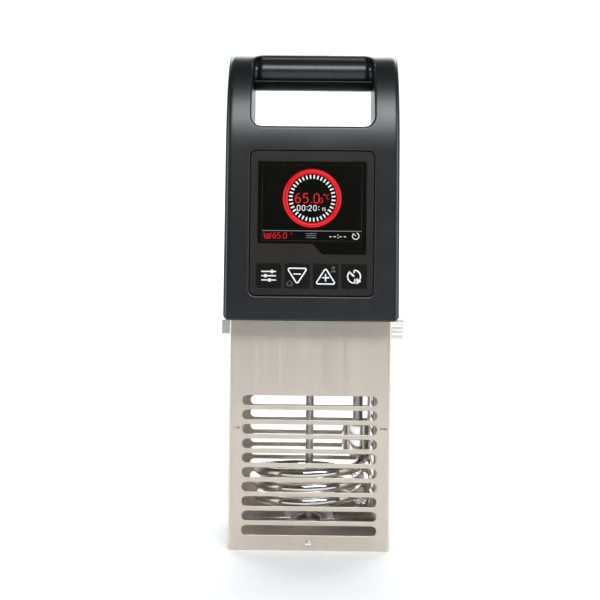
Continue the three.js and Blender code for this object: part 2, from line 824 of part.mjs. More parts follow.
// ---------------------------------------------------------------- guard

const guardOutline = new THREE.Shape();
guardOutline.moveTo(-half(sleeveWidth), sleeveRear);
guardOutline.lineTo(-half(sleeveWidth), sleeveFront + sheet);
guardOutline.lineTo(-half(sleeveWidth) + sheet, sleeveFront);
guardOutline.lineTo(half(sleeveWidth) - sheet, sleeveFront);
guardOutline.lineTo(half(sleeveWidth), sleeveFront + sheet);
guardOutline.lineTo(half(sleeveWidth), sleeveRear);
guardOutline.lineTo(sleeveInner, sleeveRear);
guardOutline.lineTo(sleeveInner, sleeveFront + sheet);
guardOutline.lineTo(-sleeveInner, sleeveFront + sheet);
guardOutline.lineTo(-sleeveInner, sleeveRear);

function slotRow(count, first, y0, y1) {
  const cuts = [];
  for (let i = 0; i < count; i += 1) {
    const z = lowestSlotRise + (first + i) * slotPitch;
    cuts.push(prismY(obround(0, z, slotLength, slotHeight), y0, y1, arcSteps));
  }
  return cuts;
}

const cornerWedge = new THREE.Shape();
cornerWedge.moveTo(half(sleeveWidth) - sleeveCornerCut, -1);
cornerWedge.lineTo(half(sleeveWidth) + 1, -1);
cornerWedge.lineTo(half(sleeveWidth) + 1, sleeveCornerCut + 1);
const cornerCut = prismY(cornerWedge, sleeveFront - 1, sleeveRear + 1);
const tabSlot = obround(0, tabSlotRise, tabSlotLength, tabSlotHeight);
const tabSlots = [-half(tabSlotSpread), half(tabSlotSpread)].map(
  (x) => prismY(tabSlot, sleeveFront - 1, sleeveFront + sheet + 1).translate([x, 0, 0])
);
const baseScrewHole = alongY(rod(screwBore, -farSide, farSide, smallSides)).translate([0, 0, baseScrewRise]);
const frontGuard = without(prismZ(guardOutline, 0, sleeveHeight), [
  ...slotRow(slotCount, 0, sleeveFront - 1, sleeveFront + sheet + 1),
  ...tabSlots,
  ...guardScrewPlaces.map(sideHole),
  baseScrewHole,
  cornerCut,
  cornerCut.mirror([1, 0, 0]),
]);
place(wet, 'front_guard', frontGuard, satinSteel);

const backHalf = sleeveInner - gap;
const backGuard = without(block(-backHalf, backHalf, sleeveRear - sheet, sleeveRear, 0, sleeveHeight), [
  ...slotRow(rearSlotCount, slotCount - rearSlotCount, sleeveRear - sheet - 1, sleeveRear + 1),
  baseScrewHole,
]);
place(wet, 'back_guard', backGuard, satinSteel);

const plateHalfX = sleeveInner - gap;
const plateHalfY = half(sleeveDepth) - sheet - gap;
const bottomPlate = without(block(-plateHalfX, plateHalfX, -plateHalfY, plateHalfY, 0, baseFlange), [
  block(-plateHalfX - 1, plateHalfX + 1, -plateHalfY + sheet, plateHalfY - sheet, sheet, baseFlange + 1),
  baseScrewHole,
  cornerCut,
  cornerCut.mirror([1, 0, 0]),
]);
place(wet, 'bottom_plate', bottomPlate, satinSteel);

const guardScrew = screw(screwHeadRadius, screwShankRadius, 5);
guardScrewPlaces.forEach(([side, y], i) => {
  const at = [side * (half(sleeveWidth) + gap), y, deckScrewZ];
  place(wet, `guard_screw_${i + 1}`, guardScrew, satinSteel, at, [0, side * quarterTurn, 0]);
});
const baseScrew = screw(baseScrewHeadRadius, screwShankRadius, 6);
const frontScrewPlace = [0, sleeveFront - gap, baseScrewRise];
const rearScrewPlace = [0, sleeveRear + gap, baseScrewRise];
place(wet, 'base_screw_front', baseScrew, satinSteel, frontScrewPlace, [quarterTurn, 0, 0]);
place(wet, 'base_screw_rear', baseScrew, satinSteel, rearScrewPlace, [-quarterTurn, 0, 0]);

// ---------------------------------------------------------------- drive train

const bushFlange = 3;
const bushLow = deckBottom - 6;
const shaftBush = turned([
  [shaftRadius + runningGap, bushLow], [bushSleeve, bushLow], [bushSleeve, deckBottom - bushFlange],
  [bushSleeve + 4, deckBottom - bushFlange], [bushSleeve + 4, deckBottom - gap],
  [bushSleeve, deckBottom - gap], [bushSleeve, baseTop + 1], [shaftRadius + runningGap, baseTop + 1],
]);
place(wet, 'shaft_bush', shaftBush, castAluminium);

const shaftSplit = (couplingBottom + couplingTop) / 2;
const shaftLow = impellerRise - nutHeight - 2;
place(wet, 'impeller_shaft', rod(shaftRadius, shaftLow, shaftSplit - gap), satinSteel);

const impellerBore = shaftRadius + gap;
const blades = [];
for (let i = 0; i < bladeCount; i += 1) {
  const blade = block(
    impellerHubRadius - 1, impellerRadius, -half(bladeThickness), half(bladeThickness),
    impellerRise + 0.4, impellerRise + impellerHeight - 0.4
  );
  blades.push(blade.rotate([0, 0, (i * 360) / bladeCount]));
}
const impellerDisc = tube(impellerBore, impellerRadius - 4, impellerRise, impellerRise + 1.2);
const impellerHub = tube(impellerBore, impellerHubRadius, impellerRise, impellerRise + impellerHeight);
const shaftRoom = rod(impellerBore, impellerRise - 1, impellerRise + impellerHeight + 1);
place(wet, 'impeller', joined([impellerHub, impellerDisc, ...blades]).subtract(shaftRoom), satinSteel);
const nutTop = impellerRise - gap;
const impellerNut = rod(nutRadius, nutTop - nutHeight, nutTop, 6)
  .subtract(rod(impellerBore, 0, sleeveHeight));
place(wet, 'impeller_nut', impellerNut, satinSteel);

const coupling = tube(shaftRadius + gap, couplingRadius, couplingBottom, couplingTop);
place(head, 'shaft_coupling', coupling, blackRubber);

const motorBore = shaftRadius + 4;
const bracketLegs = [];
for (const x of [-motorRadius, motorRadius]) {
  for (const y of [-motorRadius, motorRadius]) {
    bracketLegs.push(block(x - 3, x + 3, y - 3, y + 3, baseTop + gap, motorBracketBottom + 1));
  }
}
const bracketSpan = motorRadius + 3;
const motorBracket = joined([
  block(-bracketSpan, bracketSpan, -bracketSpan, bracketSpan, motorBracketBottom, motorBracketTop),
  ...bracketLegs,
]).subtract(rod(motorBore + 2, motorBracketBottom - 1, motorBracketTop + 1));
place(head, 'motor_bracket', motorBracket, castAluminium);

const motorCan = turned([
  [motorBore, motorBottom], [motorRadius, motorBottom], [motorRadius, motorTop], [motorBore, motorTop],
  [motorBore, motorTop - motorWall], [rotorCoreRadius + 2, motorTop - motorWall],
  [rotorCoreRadius + 2, motorBottom + motorWall], [motorBore, motorBottom + motorWall],
]);
place(head, 'motor_body', motorCan, castAluminium);

const fanBottom = motorTop + fanLift;
const rotorTop = fanBottom + fanHeight + 2;
const rotorShaft = turned([
  [0, shaftSplit + gap], [shaftRadius, shaftSplit + gap], [shaftRadius, motorBottom + motorWall + 2],
  [rotorCoreRadius, motorBottom + motorWall + 2], [rotorCoreRadius, motorTop - motorWall - 2],
  [shaftRadius, motorTop - motorWall - 2], [shaftRadius, rotorTop], [0, rotorTop],
]);
place(head, 'motor_rotor', rotorShaft, satinSteel);

const fanBlades = [];
for (let i = 0; i < fanBladeCount; i += 1) {
  const blade = block(fanHubRadius - 1, fanRadius, -1, 1, -half(fanHeight) - 1, half(fanHeight) + 1)
    .rotate([35, 0, 0])
    .translate([0, 0, fanBottom + half(fanHeight)])
    .rotate([0, 0, (i * 360) / fanBladeCount]);
  fanBlades.push(blade);
}
const fanRoom = tube(shaftRadius + gap, fanRadius + 1, fanBottom, fanBottom + fanHeight);
const fanHub = tube(shaftRadius + gap, fanHubRadius, fanBottom, fanBottom + fanHeight);
place(head, 'cooling_fan', joined([fanHub, ...fanBlades]).intersect(fanRoom), blackPlastic);

// ---------------------------------------------------------------- heater

const legTop = baseTop + 1.5;
const heaterSteps = 96;
const tubeSides = 8;
const heaterPoints = [];
const legBend = 15;
const firstZ = heaterFirstRise;
heaterPoints.push(new THREE.Vector3(heaterLegX, -heaterLegY, legTop));
heaterPoints.push(new THREE.Vector3(heaterLegX, -heaterLegY, (legTop + firstZ) / 2));
heaterPoints.push(new THREE.Vector3(heaterLegX, -heaterLegY, firstZ + legBend));
heaterPoints.push(new THREE.Vector3(heaterLegX - 0.6, -heaterLegY + 1, firstZ + 0.4 * legBend));
heaterPoints.push(new THREE.Vector3(heaterLegX - 3, -heaterLegY + 5, firstZ + 0.06 * legBend));
const turnSteps = 20;
for (let i = 0; i <= heaterTurns * turnSteps; i += 1) {
  const angle = (2 * Math.PI * i) / turnSteps;
  const z = firstZ + (heaterPitch * i) / turnSteps;
  const [x, y] = [heaterCoilRadius * Math.cos(angle), heaterCoilRadius * Math.sin(angle)];
  heaterPoints.push(new THREE.Vector3(x, y, z));
}
const lastZ = firstZ + heaterTurns * heaterPitch;
heaterPoints.push(new THREE.Vector3(heaterCoilRadius + 1.6, 0.5 * heaterLegY, lastZ + 0.8));
heaterPoints.push(new THREE.Vector3(heaterLegX - 1.8, 0.92 * heaterLegY, lastZ + 6));
heaterPoints.push(new THREE.Vector3(heaterLegX, heaterLegY, lastZ + 18));
heaterPoints.push(new THREE.Vector3(heaterLegX, heaterLegY, (lastZ + legTop) / 2 + 8));
heaterPoints.push(new THREE.Vector3(heaterLegX, heaterLegY, legTop));
const heaterSection = new THREE.Shape();
for (let i = 0; i < tubeSides; i += 1) {
  const angle = (2 * Math.PI * i) / tubeSides;
  const [u, v] = [heaterTubeRadius * Math.cos(angle), heaterTubeRadius * Math.sin(angle)];
  if (i === 0) {
    heaterSection.moveTo(u, v);
  } else {
    heaterSection.lineTo(u, v);
  }
}
const heaterGeometry = new THREE.ExtrudeGeometry(heaterSection, {
  steps: heaterSteps,
  extrudePath: new THREE.CatmullRomCurve3(heaterPoints, false, 'centripetal'),
  bevelEnabled: false,
});
place(wet, 'heater_coil', solid(heaterGeometry), polishedSteel);

function bushingAt(inner, outer, x, y) {
  const piece = turned([
    [inner + gap, deckBottom - 3], [outer + bushingLip, deckBottom - 3],
    [outer + bushingLip, deckBottom - gap], [outer, deckBottom - gap], [outer, baseTop + 1], [inner + gap, baseTop + 1],
  ], 16);
  return piece.translate([x, y, 0]);
}

legPlaces.forEach(([x, y], i) => {
  place(wet, `heater_bushing_${i + 1}`, bushingAt(heaterTubeRadius + 0.4, bushingRadius, x, y), satinSteel);
});

// ---------------------------------------------------------------- level float and probe

const lowerStop = floatRise - gap - stopHeight;
const upperStop = floatRise + floatHeight + floatTravel + gap;
const stemCollar = 4;
const stemTop = baseTop + 6;
const stem = turned([
  [0, lowerStop - stemEnd], [stemRadius, lowerStop - stemEnd],
  [stemRadius, deckBottom - stemCollar], [stopRadius, deckBottom - stemCollar],
  [stopRadius, deckBottom - gap], [stemRadius, deckBottom - gap], [stemRadius, stemTop], [0, stemTop],
]);
place(wet, 'float_stem', stem, satinSteel, [stemX, stemY, 0]);
const float = tube(stemRadius + runningGap, floatRadius, floatRise, floatRise + floatHeight);
place(wet, 'float', float, polishedSteel, [stemX, stemY, 0]);
[lowerStop, upperStop].forEach((z, i) => {
  const stop = tube(stemRadius + gap, stopRadius, z, z + stopHeight);
  place(wet, `float_stop_${i + 1}`, stop, satinSteel, [stemX, stemY, 0]);
});

const probe = turned([
  [0, probeTipRise], [0.6 * probeRadius, probeTipRise + 0.6], [probeRadius, probeTipRise + 2.5],
  [probeRadius, baseTop + 1.5], [0, baseTop + 1.5],
], 16);
place(wet, 'temperature_probe', probe, polishedSteel, [probeX, probeY, 0]);
place(wet, 'probe_bushing', bushingAt(probeRadius, probeRadius + 2, probeX, probeY), satinSteel);

// ---------------------------------------------------------------- clamp

const clamp = new THREE.Group();
object.add(clamp);
const plateTop = baseBottom - gap;
const plateBottom = plateTop - bracketPlate;
const earOuter = half(bracketWidth);
const earShape = new THREE.Shape();
earShape.moveTo(bracketFront, plateTop);
earShape.lineTo(bracketFront, rodZ);
earShape.lineTo(rodY - rodRadius, rodZ - rodRadius - earRim);
earShape.lineTo(rodY + rodRadius + earRim, rodZ - rodRadius - earRim);
earShape.lineTo(rodY + rodRadius + earRim, rodZ + 1);
earShape.lineTo(rodY + 1, headBottom - 2 * gap);
earShape.lineTo(bracketBack, headBottom - 2 * gap);
earShape.lineTo(bracketBack, plateTop);
const rodRoom = (grow) => alongX(rod(rodRadius + grow, -farSide, farSide)).translate([0, rodY, rodZ]);
const bracketHole = rod(screwBore, plateBottom - 1, plateTop + 1, smallSides);
const clampBracket = without(joined([
  block(-earOuter, earOuter, bracketFront, bracketBack, plateBottom, plateTop),
  prismX(earShape, -earOuter, -earOuter + earThickness),
  prismX(earShape, earOuter - earThickness, earOuter),
]), [
  rodRoom(gap),
  ...bracketScrewPlaces.map((x) => bracketHole.translate([x, bracketY, 0])),
]);
place(clamp, 'clamp_bracket', clampBracket, satinSteel);
const bracketScrew = screw(screwHeadRadius, screwShankRadius, 8);
bracketScrewPlaces.forEach((x, i) => {
  const at = [x, bracketY, plateBottom - gap];
  place(clamp, `bracket_screw_${i + 1}`, bracketScrew, satinSteel, at, [Math.PI, 0, 0]);
});

const knobInner = knobOuterEnd - knobLength;
const knobCap = 4; // thickness of the knob's closed end
const blockCap = 2; // thickness of the block's closed end
const rodRightEnd = knobOuterEnd - knobCap;
const crossRod = alongX(rod(rodRadius, -rodLeftEnd + blockCap, rodRightEnd)).translate([0, rodY, rodZ]);
place(clamp, 'clamp_rod', crossRod, polishedSteel);
const endBlock = block(
  -rodLeftEnd, -rodLeftEnd + blockLength, rodY - half(blockSize), rodY + half(blockSize),
  rodZ - half(blockSize), rodZ + half(blockSize)
).subtract(alongX(rod(rodRadius + gap, -rodLeftEnd + blockCap - gap, 0)).translate([0, rodY, rodZ]));
place(clamp, 'rod_end_block', endBlock, satinSteel);

const knobShape = new THREE.Shape();
const knobSteps = 4 * knobRidges;
const knobGroove = 0.8;
for (let i = 0; i < knobSteps; i += 1) {
  const angle = (2 * Math.PI * i) / knobSteps;
  const radius = knobRadius - (i % 4 < 2 ? 0 : knobGroove);
  if (i === 0) {
    knobShape.moveTo(radius * Math.cos(angle), radius * Math.sin(angle));
  } else {
    knobShape.lineTo(radius * Math.cos(angle), radius * Math.sin(angle));
  }
}
const knobTaper = turned([
  [0, 0], [knobRadius - 1.2, 0], [knobRadius + 0.2, 1.4], [knobRadius + 0.2, knobLength - 1.8],
  [knobRadius - 1.6, knobLength], [0, knobLength],
], 28);
const knobBore = rod(rodRadius + runningGap, -1, rodRightEnd - knobInner + gap);
const knob = alongX(prismZ(knobShape, 0, knobLength).intersect(knobTaper).subtract(knobBore));
place(clamp, 'clamp_knob', knob, satinSteel, [knobInner, rodY, rodZ]);

const jawInnerFace = rodY + knuckleRadius - jawPlate;
const jawTop = rodZ;
const jawBottom = rodZ - jawLength;
const knuckles = [-1, 1].map((side) => {
  const middle = side * (half(jawWidth) - half(knuckleLength));
  const barrel = rod(knuckleRadius, middle - half(knuckleLength), middle + half(knuckleLength));
  return alongX(barrel).translate([0, rodY, rodZ]);
});
const clampJaw = joined([
  block(-half(jawWidth), half(jawWidth), jawInnerFace, jawInnerFace + jawPlate, jawBottom, jawTop),
  ...knuckles,
]).subtract(rodRoom(runningGap));
place(clamp, 'clamp_jaw', clampJaw, satinSteel);
const padFront = jawInnerFace - gap - padThickness;
const padRise = 4; // above the jaw's lower edge
const padBottom = jawBottom + padRise;
const padShape = roundedBox(-half(padWidth), padBottom, half(padWidth), padBottom + padHeight, 3);
const jawPad = prismY(padShape, padFront, padFront + padThickness);
place(clamp, 'jaw_pad', jawPad, blackRubber);

export default object;
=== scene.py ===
import math

import bmesh
import bpy
import numpy as np
from mathutils import Matrix, Vector
from mathutils.geometry import delaunay_2d_cdt


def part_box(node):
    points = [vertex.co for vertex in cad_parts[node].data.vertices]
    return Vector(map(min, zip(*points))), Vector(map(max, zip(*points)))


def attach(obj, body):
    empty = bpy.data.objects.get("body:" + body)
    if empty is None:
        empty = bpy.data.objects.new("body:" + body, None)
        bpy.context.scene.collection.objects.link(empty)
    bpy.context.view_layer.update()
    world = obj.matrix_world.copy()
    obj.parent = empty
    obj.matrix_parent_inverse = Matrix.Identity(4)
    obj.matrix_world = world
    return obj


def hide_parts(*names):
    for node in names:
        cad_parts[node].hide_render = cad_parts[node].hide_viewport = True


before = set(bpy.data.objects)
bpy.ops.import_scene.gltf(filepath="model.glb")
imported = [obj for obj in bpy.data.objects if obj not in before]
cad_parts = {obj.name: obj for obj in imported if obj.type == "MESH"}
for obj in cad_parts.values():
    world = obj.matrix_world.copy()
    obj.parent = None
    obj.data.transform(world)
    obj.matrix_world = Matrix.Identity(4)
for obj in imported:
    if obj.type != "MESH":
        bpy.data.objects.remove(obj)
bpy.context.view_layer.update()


# ------------------------------------------------------------------ studio
# The circulator stands on a pale floor that sweeps up behind it. One large soft light hangs
# high in front, two tall ones stand at its sides, and a weak one lights the back.


def linked(name, data):
    """A new object in the scene that shows the data."""
    shown = bpy.data.objects.new(name, data)
    bpy.context.scene.collection.objects.link(shown)
    return shown


lens = 63.3
camera_distance = 0.815
camera_height = 0.1837
camera_yaw = math.radians(0.6)
camera_pitch = math.radians(-0.217)
camera_roll = math.radians(0.62)

camera_data = bpy.data.cameras.new("camera")
camera_data.lens = lens
camera_data.sensor_width = 36
camera_data.clip_start = 0.02
camera = linked("camera", camera_data)
turn = Matrix.Rotation(camera_yaw, 4, "Z") @ Matrix.Rotation(math.pi / 2 + camera_pitch, 4, "X")
turn = turn @ Matrix.Rotation(camera_roll, 4, "Z")
camera.matrix_world = Matrix.Translation((0, -camera_distance, camera_height)) @ turn
bpy.context.scene.camera = camera
bpy.context.scene.view_settings.view_transform = "Standard"


def node_maker(tree):
    """What makes nodes in a tree, and what wires them up."""

    def make(kind, inputs=None, **settings):
        node = tree.nodes.new("ShaderNode" + kind)
        for key, value in settings.items():
            setattr(node, key, value)
        for key, value in (inputs or {}).items():
            node.inputs[key].default_value = value
        return node

    def wire(start, output, *ends):
        for end, socket in ends:
            tree.links.new(start.outputs[output], end.inputs[socket])

    return make, wire


def new_material(name, **values):
    """A material, its shader, and the maker and wiring of further nodes."""
    material = bpy.data.materials.new(name)
    material.use_nodes = True
    shader = material.node_tree.nodes["Principled BSDF"]
    for socket, value in values.items():
        shader.inputs[socket.replace("_", " ")].default_value = value
    return material, shader, *node_maker(material.node_tree)


floor_half = 2.4
sweep_start = 0.9
sweep_radius = 0.7
sweep_height = 2.6
profile = [(-floor_half, 0.0), (sweep_start, 0.0)]
for i in range(1, 13):
    angle = i * math.pi / 24
    rise = sweep_radius * (1 - math.cos(angle))
    profile.append((sweep_start + sweep_radius * math.sin(angle), rise))
profile.append((sweep_start + sweep_radius, sweep_height))
floor_mesh = bmesh.new()
rows = [[floor_mesh.verts.new((x, y, z)) for x in (-floor_half, floor_half)] for y, z in profile]
for low, high in zip(rows, rows[1:]):
    floor_mesh.faces.new((low[0], low[1], high[1], high[0])).smooth = True
floor_data = bpy.data.meshes.new("studio_floor")
floor_mesh.to_mesh(floor_data)
floor = linked("studio_floor", floor_data)
floor_paint = new_material("pale_floor", Base_Color=(0.93, 0.93, 0.93, 1), Roughness=0.7)[0]
floor_data.materials.append(floor_paint)


def soft_light(name, place, aim, width, height, power):
    data = bpy.data.lights.new(name, "AREA")
    data.shape = "RECTANGLE"
    data.size = width
    data.size_y = height
    data.energy = power
    data.color = (0.94, 0.97, 1.0)
    light = linked(name, data)
    light.location = place
    light.rotation_euler = (Vector(aim) - Vector(place)).to_track_quat("-Z", "Y").to_euler()


soft_light("light_front_high", (0.30, -1.6, 1.28), (0, 0, 0.30), 1.5, 0.55, 34)
soft_light("light_left", (-1.3, -0.45, 0.30), (0, 0, 0.2), 0.5, 1.2, 9)
soft_light("light_right", (1.3, -0.45, 0.30), (0, 0, 0.2), 0.5, 1.2, 10)
soft_light("light_back", (0.0, 1.2, 1.7), (0, 0.6, 0.2), 2.4, 0.9, 40)

world = bpy.data.worlds.new("studio")
bpy.context.scene.world = world
world.use_nodes = True
make, wire = node_maker(world.node_tree)
direction = make("TexCoord")
parts = make("SeparateXYZ")
brightness = make("MapRange", {"From Min": -0.85, "From Max": 0.25, "To Min": 0.04, "To Max": 1.1})
seen = make("LightPath")
pick = make("Mix", {"B": 1.0})
wire(direction, "Generated", (parts, "Vector"))
wire(parts, "Y", (brightness, "Value"))
wire(seen, "Is Camera Ray", (pick, "Factor"))
wire(brightness, "Result", (pick, "A"))
wire(pick, "Result", (world.node_tree.nodes["Background"], "Strength"))

# ------------------------------------------------------------------ head shells
# Two injection moulded shells of black satin plastic with a fine grain, 2.5 mm thick. They
# meet on a plane across the head, and four screws from behind pull them together. The front
# one carries the recess for the panel, and the grip grows out of its uprights.

front_low, front_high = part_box("front_shell")
rear_low, rear_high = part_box("rear_shell")
head_front = front_low.y
head_rear = rear_high.y
head_bottom = front_low.z
head_top = front_high.z
head_half = front_high.x
head_draft = 0.00115
wall = 0.0025
seam = rear_low.y - 0.00015
seam_half = 0.00012
front_edge = 0.0042
rear_edge = 0.0090
crown_setback = 0.040
crown_rise = 0.076
rear_rise = 0.071
opening_half = 0.0434
opening_floor = head_top - 0.058
opening_top = head_top - 0.0035
opening_corner = 0.0076
opening_rim = 0.0016
opening_flare = 0.0045
grip_y = head_front + 0.039
grip_z = head_top - 0.0138
grip_a = 0.016
grip_b = 0.0126
grip_back = grip_y + grip_a
grip_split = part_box("grip_lower")[1].z + 0.0003
grip_fillet = 0.0024
panel_low, panel_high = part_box("control_panel")
panel_margin = 0.0007
panel_corner = 0.004
pocket_floor = panel_high.y + 0.0004
pocket_edge = 0.0010
key_names = ("set_key", "minus_key", "plus_key", "timer_key")
stem_hole_half = 0.0049


def middle(node):
    """The middle of a node's box."""
    return [(low + high) / 2 for low, high in zip(*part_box(node))]


key_centres = [middle(name)[::2] for name in key_names]


def bezier(a, b, c, d, steps):
    t = np.linspace(0, 1, steps + 1)[:, None]
    a, b, c, d = (np.array(p, float) for p in (a, b, c, d))
    return (1 - t) ** 3 * a + 3 * (1 - t) ** 2 * t * b + 3 * (1 - t) * t * t * c + t ** 3 * d


def head_profile(bottom):
    """The head's outline from the side, as points in Y and Z."""
    crown = (head_front + crown_setback, head_top)
    back_start = head_top - rear_rise
    front_start = head_top - crown_rise
    back = bezier(
        (head_rear, back_start), (head_rear, back_start + 0.75 * rear_rise),
        (crown[0] + 0.55 * (head_rear - crown[0]), head_top), crown, 40,
    )
    front = bezier(
        crown, (crown[0] - 0.6 * crown_setback, head_top),
        (head_front, front_start + 0.55 * crown_rise), (head_front, front_start), 40,
    )
    return np.vstack([[(head_front, bottom), (head_rear, bottom)], back, front[1:]])


def outline_distance(points):
    """How far a place in the plane lies from a closed outline, negative inside it."""
    ends = np.roll(points, -1, axis=0)

    def distance(u, v):
        best = np.full(np.broadcast(u, v).shape, 1e9)
        inside = np.zeros(best.shape, bool)
        for (u0, v0), (u1, v1) in zip(points, ends):
            du, dv = u1 - u0, v1 - v0
            along = np.clip(((u - u0) * du + (v - v0) * dv) / (du * du + dv * dv + 1e-18), 0, 1)
            best = np.minimum(best, (u - u0 - along * du) ** 2 + (v - v0 - along * dv) ** 2)
            if abs(dv) > 1e-12:
                crossing = ((v0 > v) != (v1 > v)) & (u < u0 + (v - v0) * du / dv)
                inside ^= crossing
        return np.where(inside, -1, 1) * np.sqrt(best)

    return distance


def round_both(a, b, radius):
    """What lies inside a and b, with a round edge where they meet."""
    edge = np.hypot(np.maximum(radius + a, 0), np.maximum(radius + b, 0))
    return np.minimum(-radius, np.maximum(a, b)) + edge


def round_either(a, b, radius):
    """What lies inside a or b, with a hollow fillet where they meet."""
    return -round_both(-a, -b, radius)


def round_rectangle(u, v, half_u, half_v, corner):
    """Distance from a rectangle with round corners, centred on the origin."""
    over_u = np.abs(u) - half_u + corner
    over_v = np.abs(v) - half_v + corner
    outside = np.hypot(np.maximum(over_u, 0), np.maximum(over_v, 0))
    return outside + np.minimum(np.maximum(over_u, over_v), 0) - corner


def grid_lines(low, high, coarse, features, reach, fine=0.0006):
    """Places along an axis, close together near the features and wider between them."""
    margin = 0.002
    lines = [low - margin]
    while lines[-1] < high + margin:
        gap = min(abs(lines[-1] + 0.5 * fine - feature) for feature in features)
        lines.append(lines[-1] + fine + min(max(gap - reach, 0) * 0.4, coarse - fine))
    return np.array(lines)


def skin(name, distance, grids, pulls=3):
    """A closed mesh of quads on the surface where distance is nil, inside a grid of lines."""
    values = distance(*np.meshgrid(*grids, indexing="ij", sparse=True))
    values = np.broadcast_to(values, [len(g) for g in grids])
    inside = values < 0
    cells = [len(g) - 1 for g in grids]
    total = np.zeros(cells + [3])
    count = np.zeros(cells)
    quads = []
    for axis in range(3):
        u, v = (axis + 1) % 3, (axis + 2) % 3
        near = [slice(None)] * 3
        far = [slice(None)] * 3
        near[axis], far[axis] = slice(0, -1), slice(1, None)
        crossed = np.argwhere(inside[tuple(near)] != inside[tuple(far)])
        step = np.zeros(3, int)
        step[axis] = 1
        v0 = values[tuple(crossed.T)]
        v1 = values[tuple((crossed + step).T)]
        place = np.stack([grids[k][crossed[:, k]] for k in range(3)], 1)
        length = grids[axis][crossed[:, axis] + 1] - grids[axis][crossed[:, axis]]
        place[:, axis] += length * v0 / (v0 - v1)
        ring = []
        for du, dv in ((-1, -1), (0, -1), (0, 0), (-1, 0)):
            cell = crossed.copy()
            cell[:, u] += du
            cell[:, v] += dv
            np.add.at(total, tuple(cell.T), place)
            np.add.at(count, tuple(cell.T), 1)
            ring.append(np.ravel_multi_index(tuple(cell.T), cells))
        ring = np.stack(ring, 1)
        quads.append(np.where((v0 < 0)[:, None], ring, ring[:, ::-1]))
    used = np.flatnonzero(count.ravel())
    points = total.reshape(-1, 3)[used] / count.ravel()[used, None]
    number = np.full(count.size, -1)
    number[used] = np.arange(len(used))
    faces = number[np.vstack(quads)]
    nudge = 2e-5
    longest_pull = 4e-4
    for _ in range(pulls):
        at = distance(*points.T)
        slope = []
        for step in nudge * np.eye(3):
            ahead, behind = distance(*(points + step).T), distance(*(points - step).T)
            slope.append((ahead - behind) / (2 * nudge))
        slope = np.stack(slope, 1)
        move = at[:, None] * slope / np.maximum((slope ** 2).sum(1), 0.25)[:, None]
        points = points - np.clip(move, -longest_pull, longest_pull)
    data = bpy.data.meshes.new(name)
    data.from_pydata(points.tolist(), [], faces.tolist())
    data.validate()
    for polygon in data.polygons:
        polygon.use_smooth = True
    return linked(name, data)


head_side = outline_distance(head_profile(head_bottom))
head_side_open = outline_distance(head_profile(head_bottom - 0.03))
ellipse = np.linspace(0, 2 * math.pi, 48, endpoint=False)
grip_bar_half = opening_half - 0.0036
grip_bar_edge = 0.0032
grip_neck = 0.0030


def grip_shape(shrink):
    a, b = grip_a - shrink, grip_b - shrink
    around = np.stack([grip_y + a * np.cos(ellipse), grip_z + b * np.sin(ellipse)], 1)
    return outline_distance(around)


grip_outline = grip_shape(0)
grip_core = grip_shape(grip_neck)


def head_block(x, y, z, side, inset):
    """The whole head, or the space inside a wall that is thicker at the rounded edges."""
    lean = head_draft * (z - head_bottom) / (head_top - head_bottom)
    across = np.abs(x) - (head_half - lean)
    share = np.clip((y - head_front) / (head_rear - head_front), 0, 1)
    edge = front_edge + (rear_edge - front_edge) * share ** 2
    return round_both(side(y, z) + inset, across + inset, edge)


def finger_opening(x, y, z, grow):
    """The space through the head: closed above in front of the grip, open behind it."""
    tall = 0.06
    flare = opening_flare * np.clip((y - grip_back) / (head_rear - grip_back), 0, 1)
    middle = (opening_floor + opening_top) / 2
    half_z = (opening_top - opening_floor) / 2 + grow
    half_x = opening_half + grow
    corner = opening_corner + grow
    closed = round_rectangle(x, z - middle, half_x, half_z, corner)
    opened = round_rectangle(x, z - (opening_floor + tall), half_x + flare, tall + grow, corner)
    return np.minimum(closed, np.maximum(opened, grip_back - grow - y))


def head_solid(x, y, z):
    outer = head_block(x, y, z, head_side, 0)
    outer = round_both(outer, -finger_opening(x, y, z, 0), opening_rim)
    bar = round_both(grip_outline(y, z), np.abs(x) - grip_bar_half, grip_bar_edge)
    core = np.maximum(grip_core(y, z), np.abs(x) - opening_half - 0.001)
    upper_bar = round_both(bar, grip_split - z, 0.0010)
    upper_core = np.maximum(core, grip_split - z)
    outer = np.minimum(round_either(outer, upper_core, grip_fillet), upper_bar)
    hollow = np.maximum(head_block(x, y, z, head_side_open, wall), -finger_opening(x, y, z, wall))
    up = z - (panel_low.z + panel_high.z) / 2
    half_x, half_z = panel_high.x, (panel_high.z - panel_low.z) / 2
    backing = round_rectangle(x, up, half_x + wall, half_z + wall, panel_corner)
    hollow = np.maximum(hollow, -np.maximum(backing, y - pocket_floor - wall))
    solid = np.maximum(outer, -hollow)
    grow = panel_margin
    pocket = round_rectangle(x, up, half_x + grow, half_z + grow, panel_corner + grow)
    solid = round_both(solid, -np.maximum(pocket, y - pocket_floor), pocket_edge)
    for key_x, key_z in key_centres:
        around = round_rectangle(x - key_x, z - key_z, stem_hole_half, stem_hole_half, 0.001)
        solid = np.maximum(solid, -np.maximum(around, y - pocket_floor - 2 * wall))
    return solid


def front_half(x, y, z):
    return round_both(head_solid(x, y, z), y - (seam - seam_half), 0.0003)


rounding = 0.006
x_features = [head_half, opening_half, opening_half - rounding]
x_features += [-x for x in x_features]
front_y = [head_front, pocket_floor, grip_y - grip_a, grip_y - 0.7 * grip_a, grip_back, seam]
front_z = [
    head_bottom, head_bottom + 0.002, panel_low.z, panel_high.z, opening_floor,
    opening_floor + rounding, grip_split, opening_top - 0.009,
    opening_top - 0.005, opening_top, head_top,
]
front_shell = skin("front_shell_skin", front_half, (
    grid_lines(-head_half, head_half, 0.0019, x_features, 0.0022),
    grid_lines(head_front, seam, 0.0012, front_y, 0.0016),
    grid_lines(head_bottom, head_top, 0.0018, front_z, 0.0020),
))


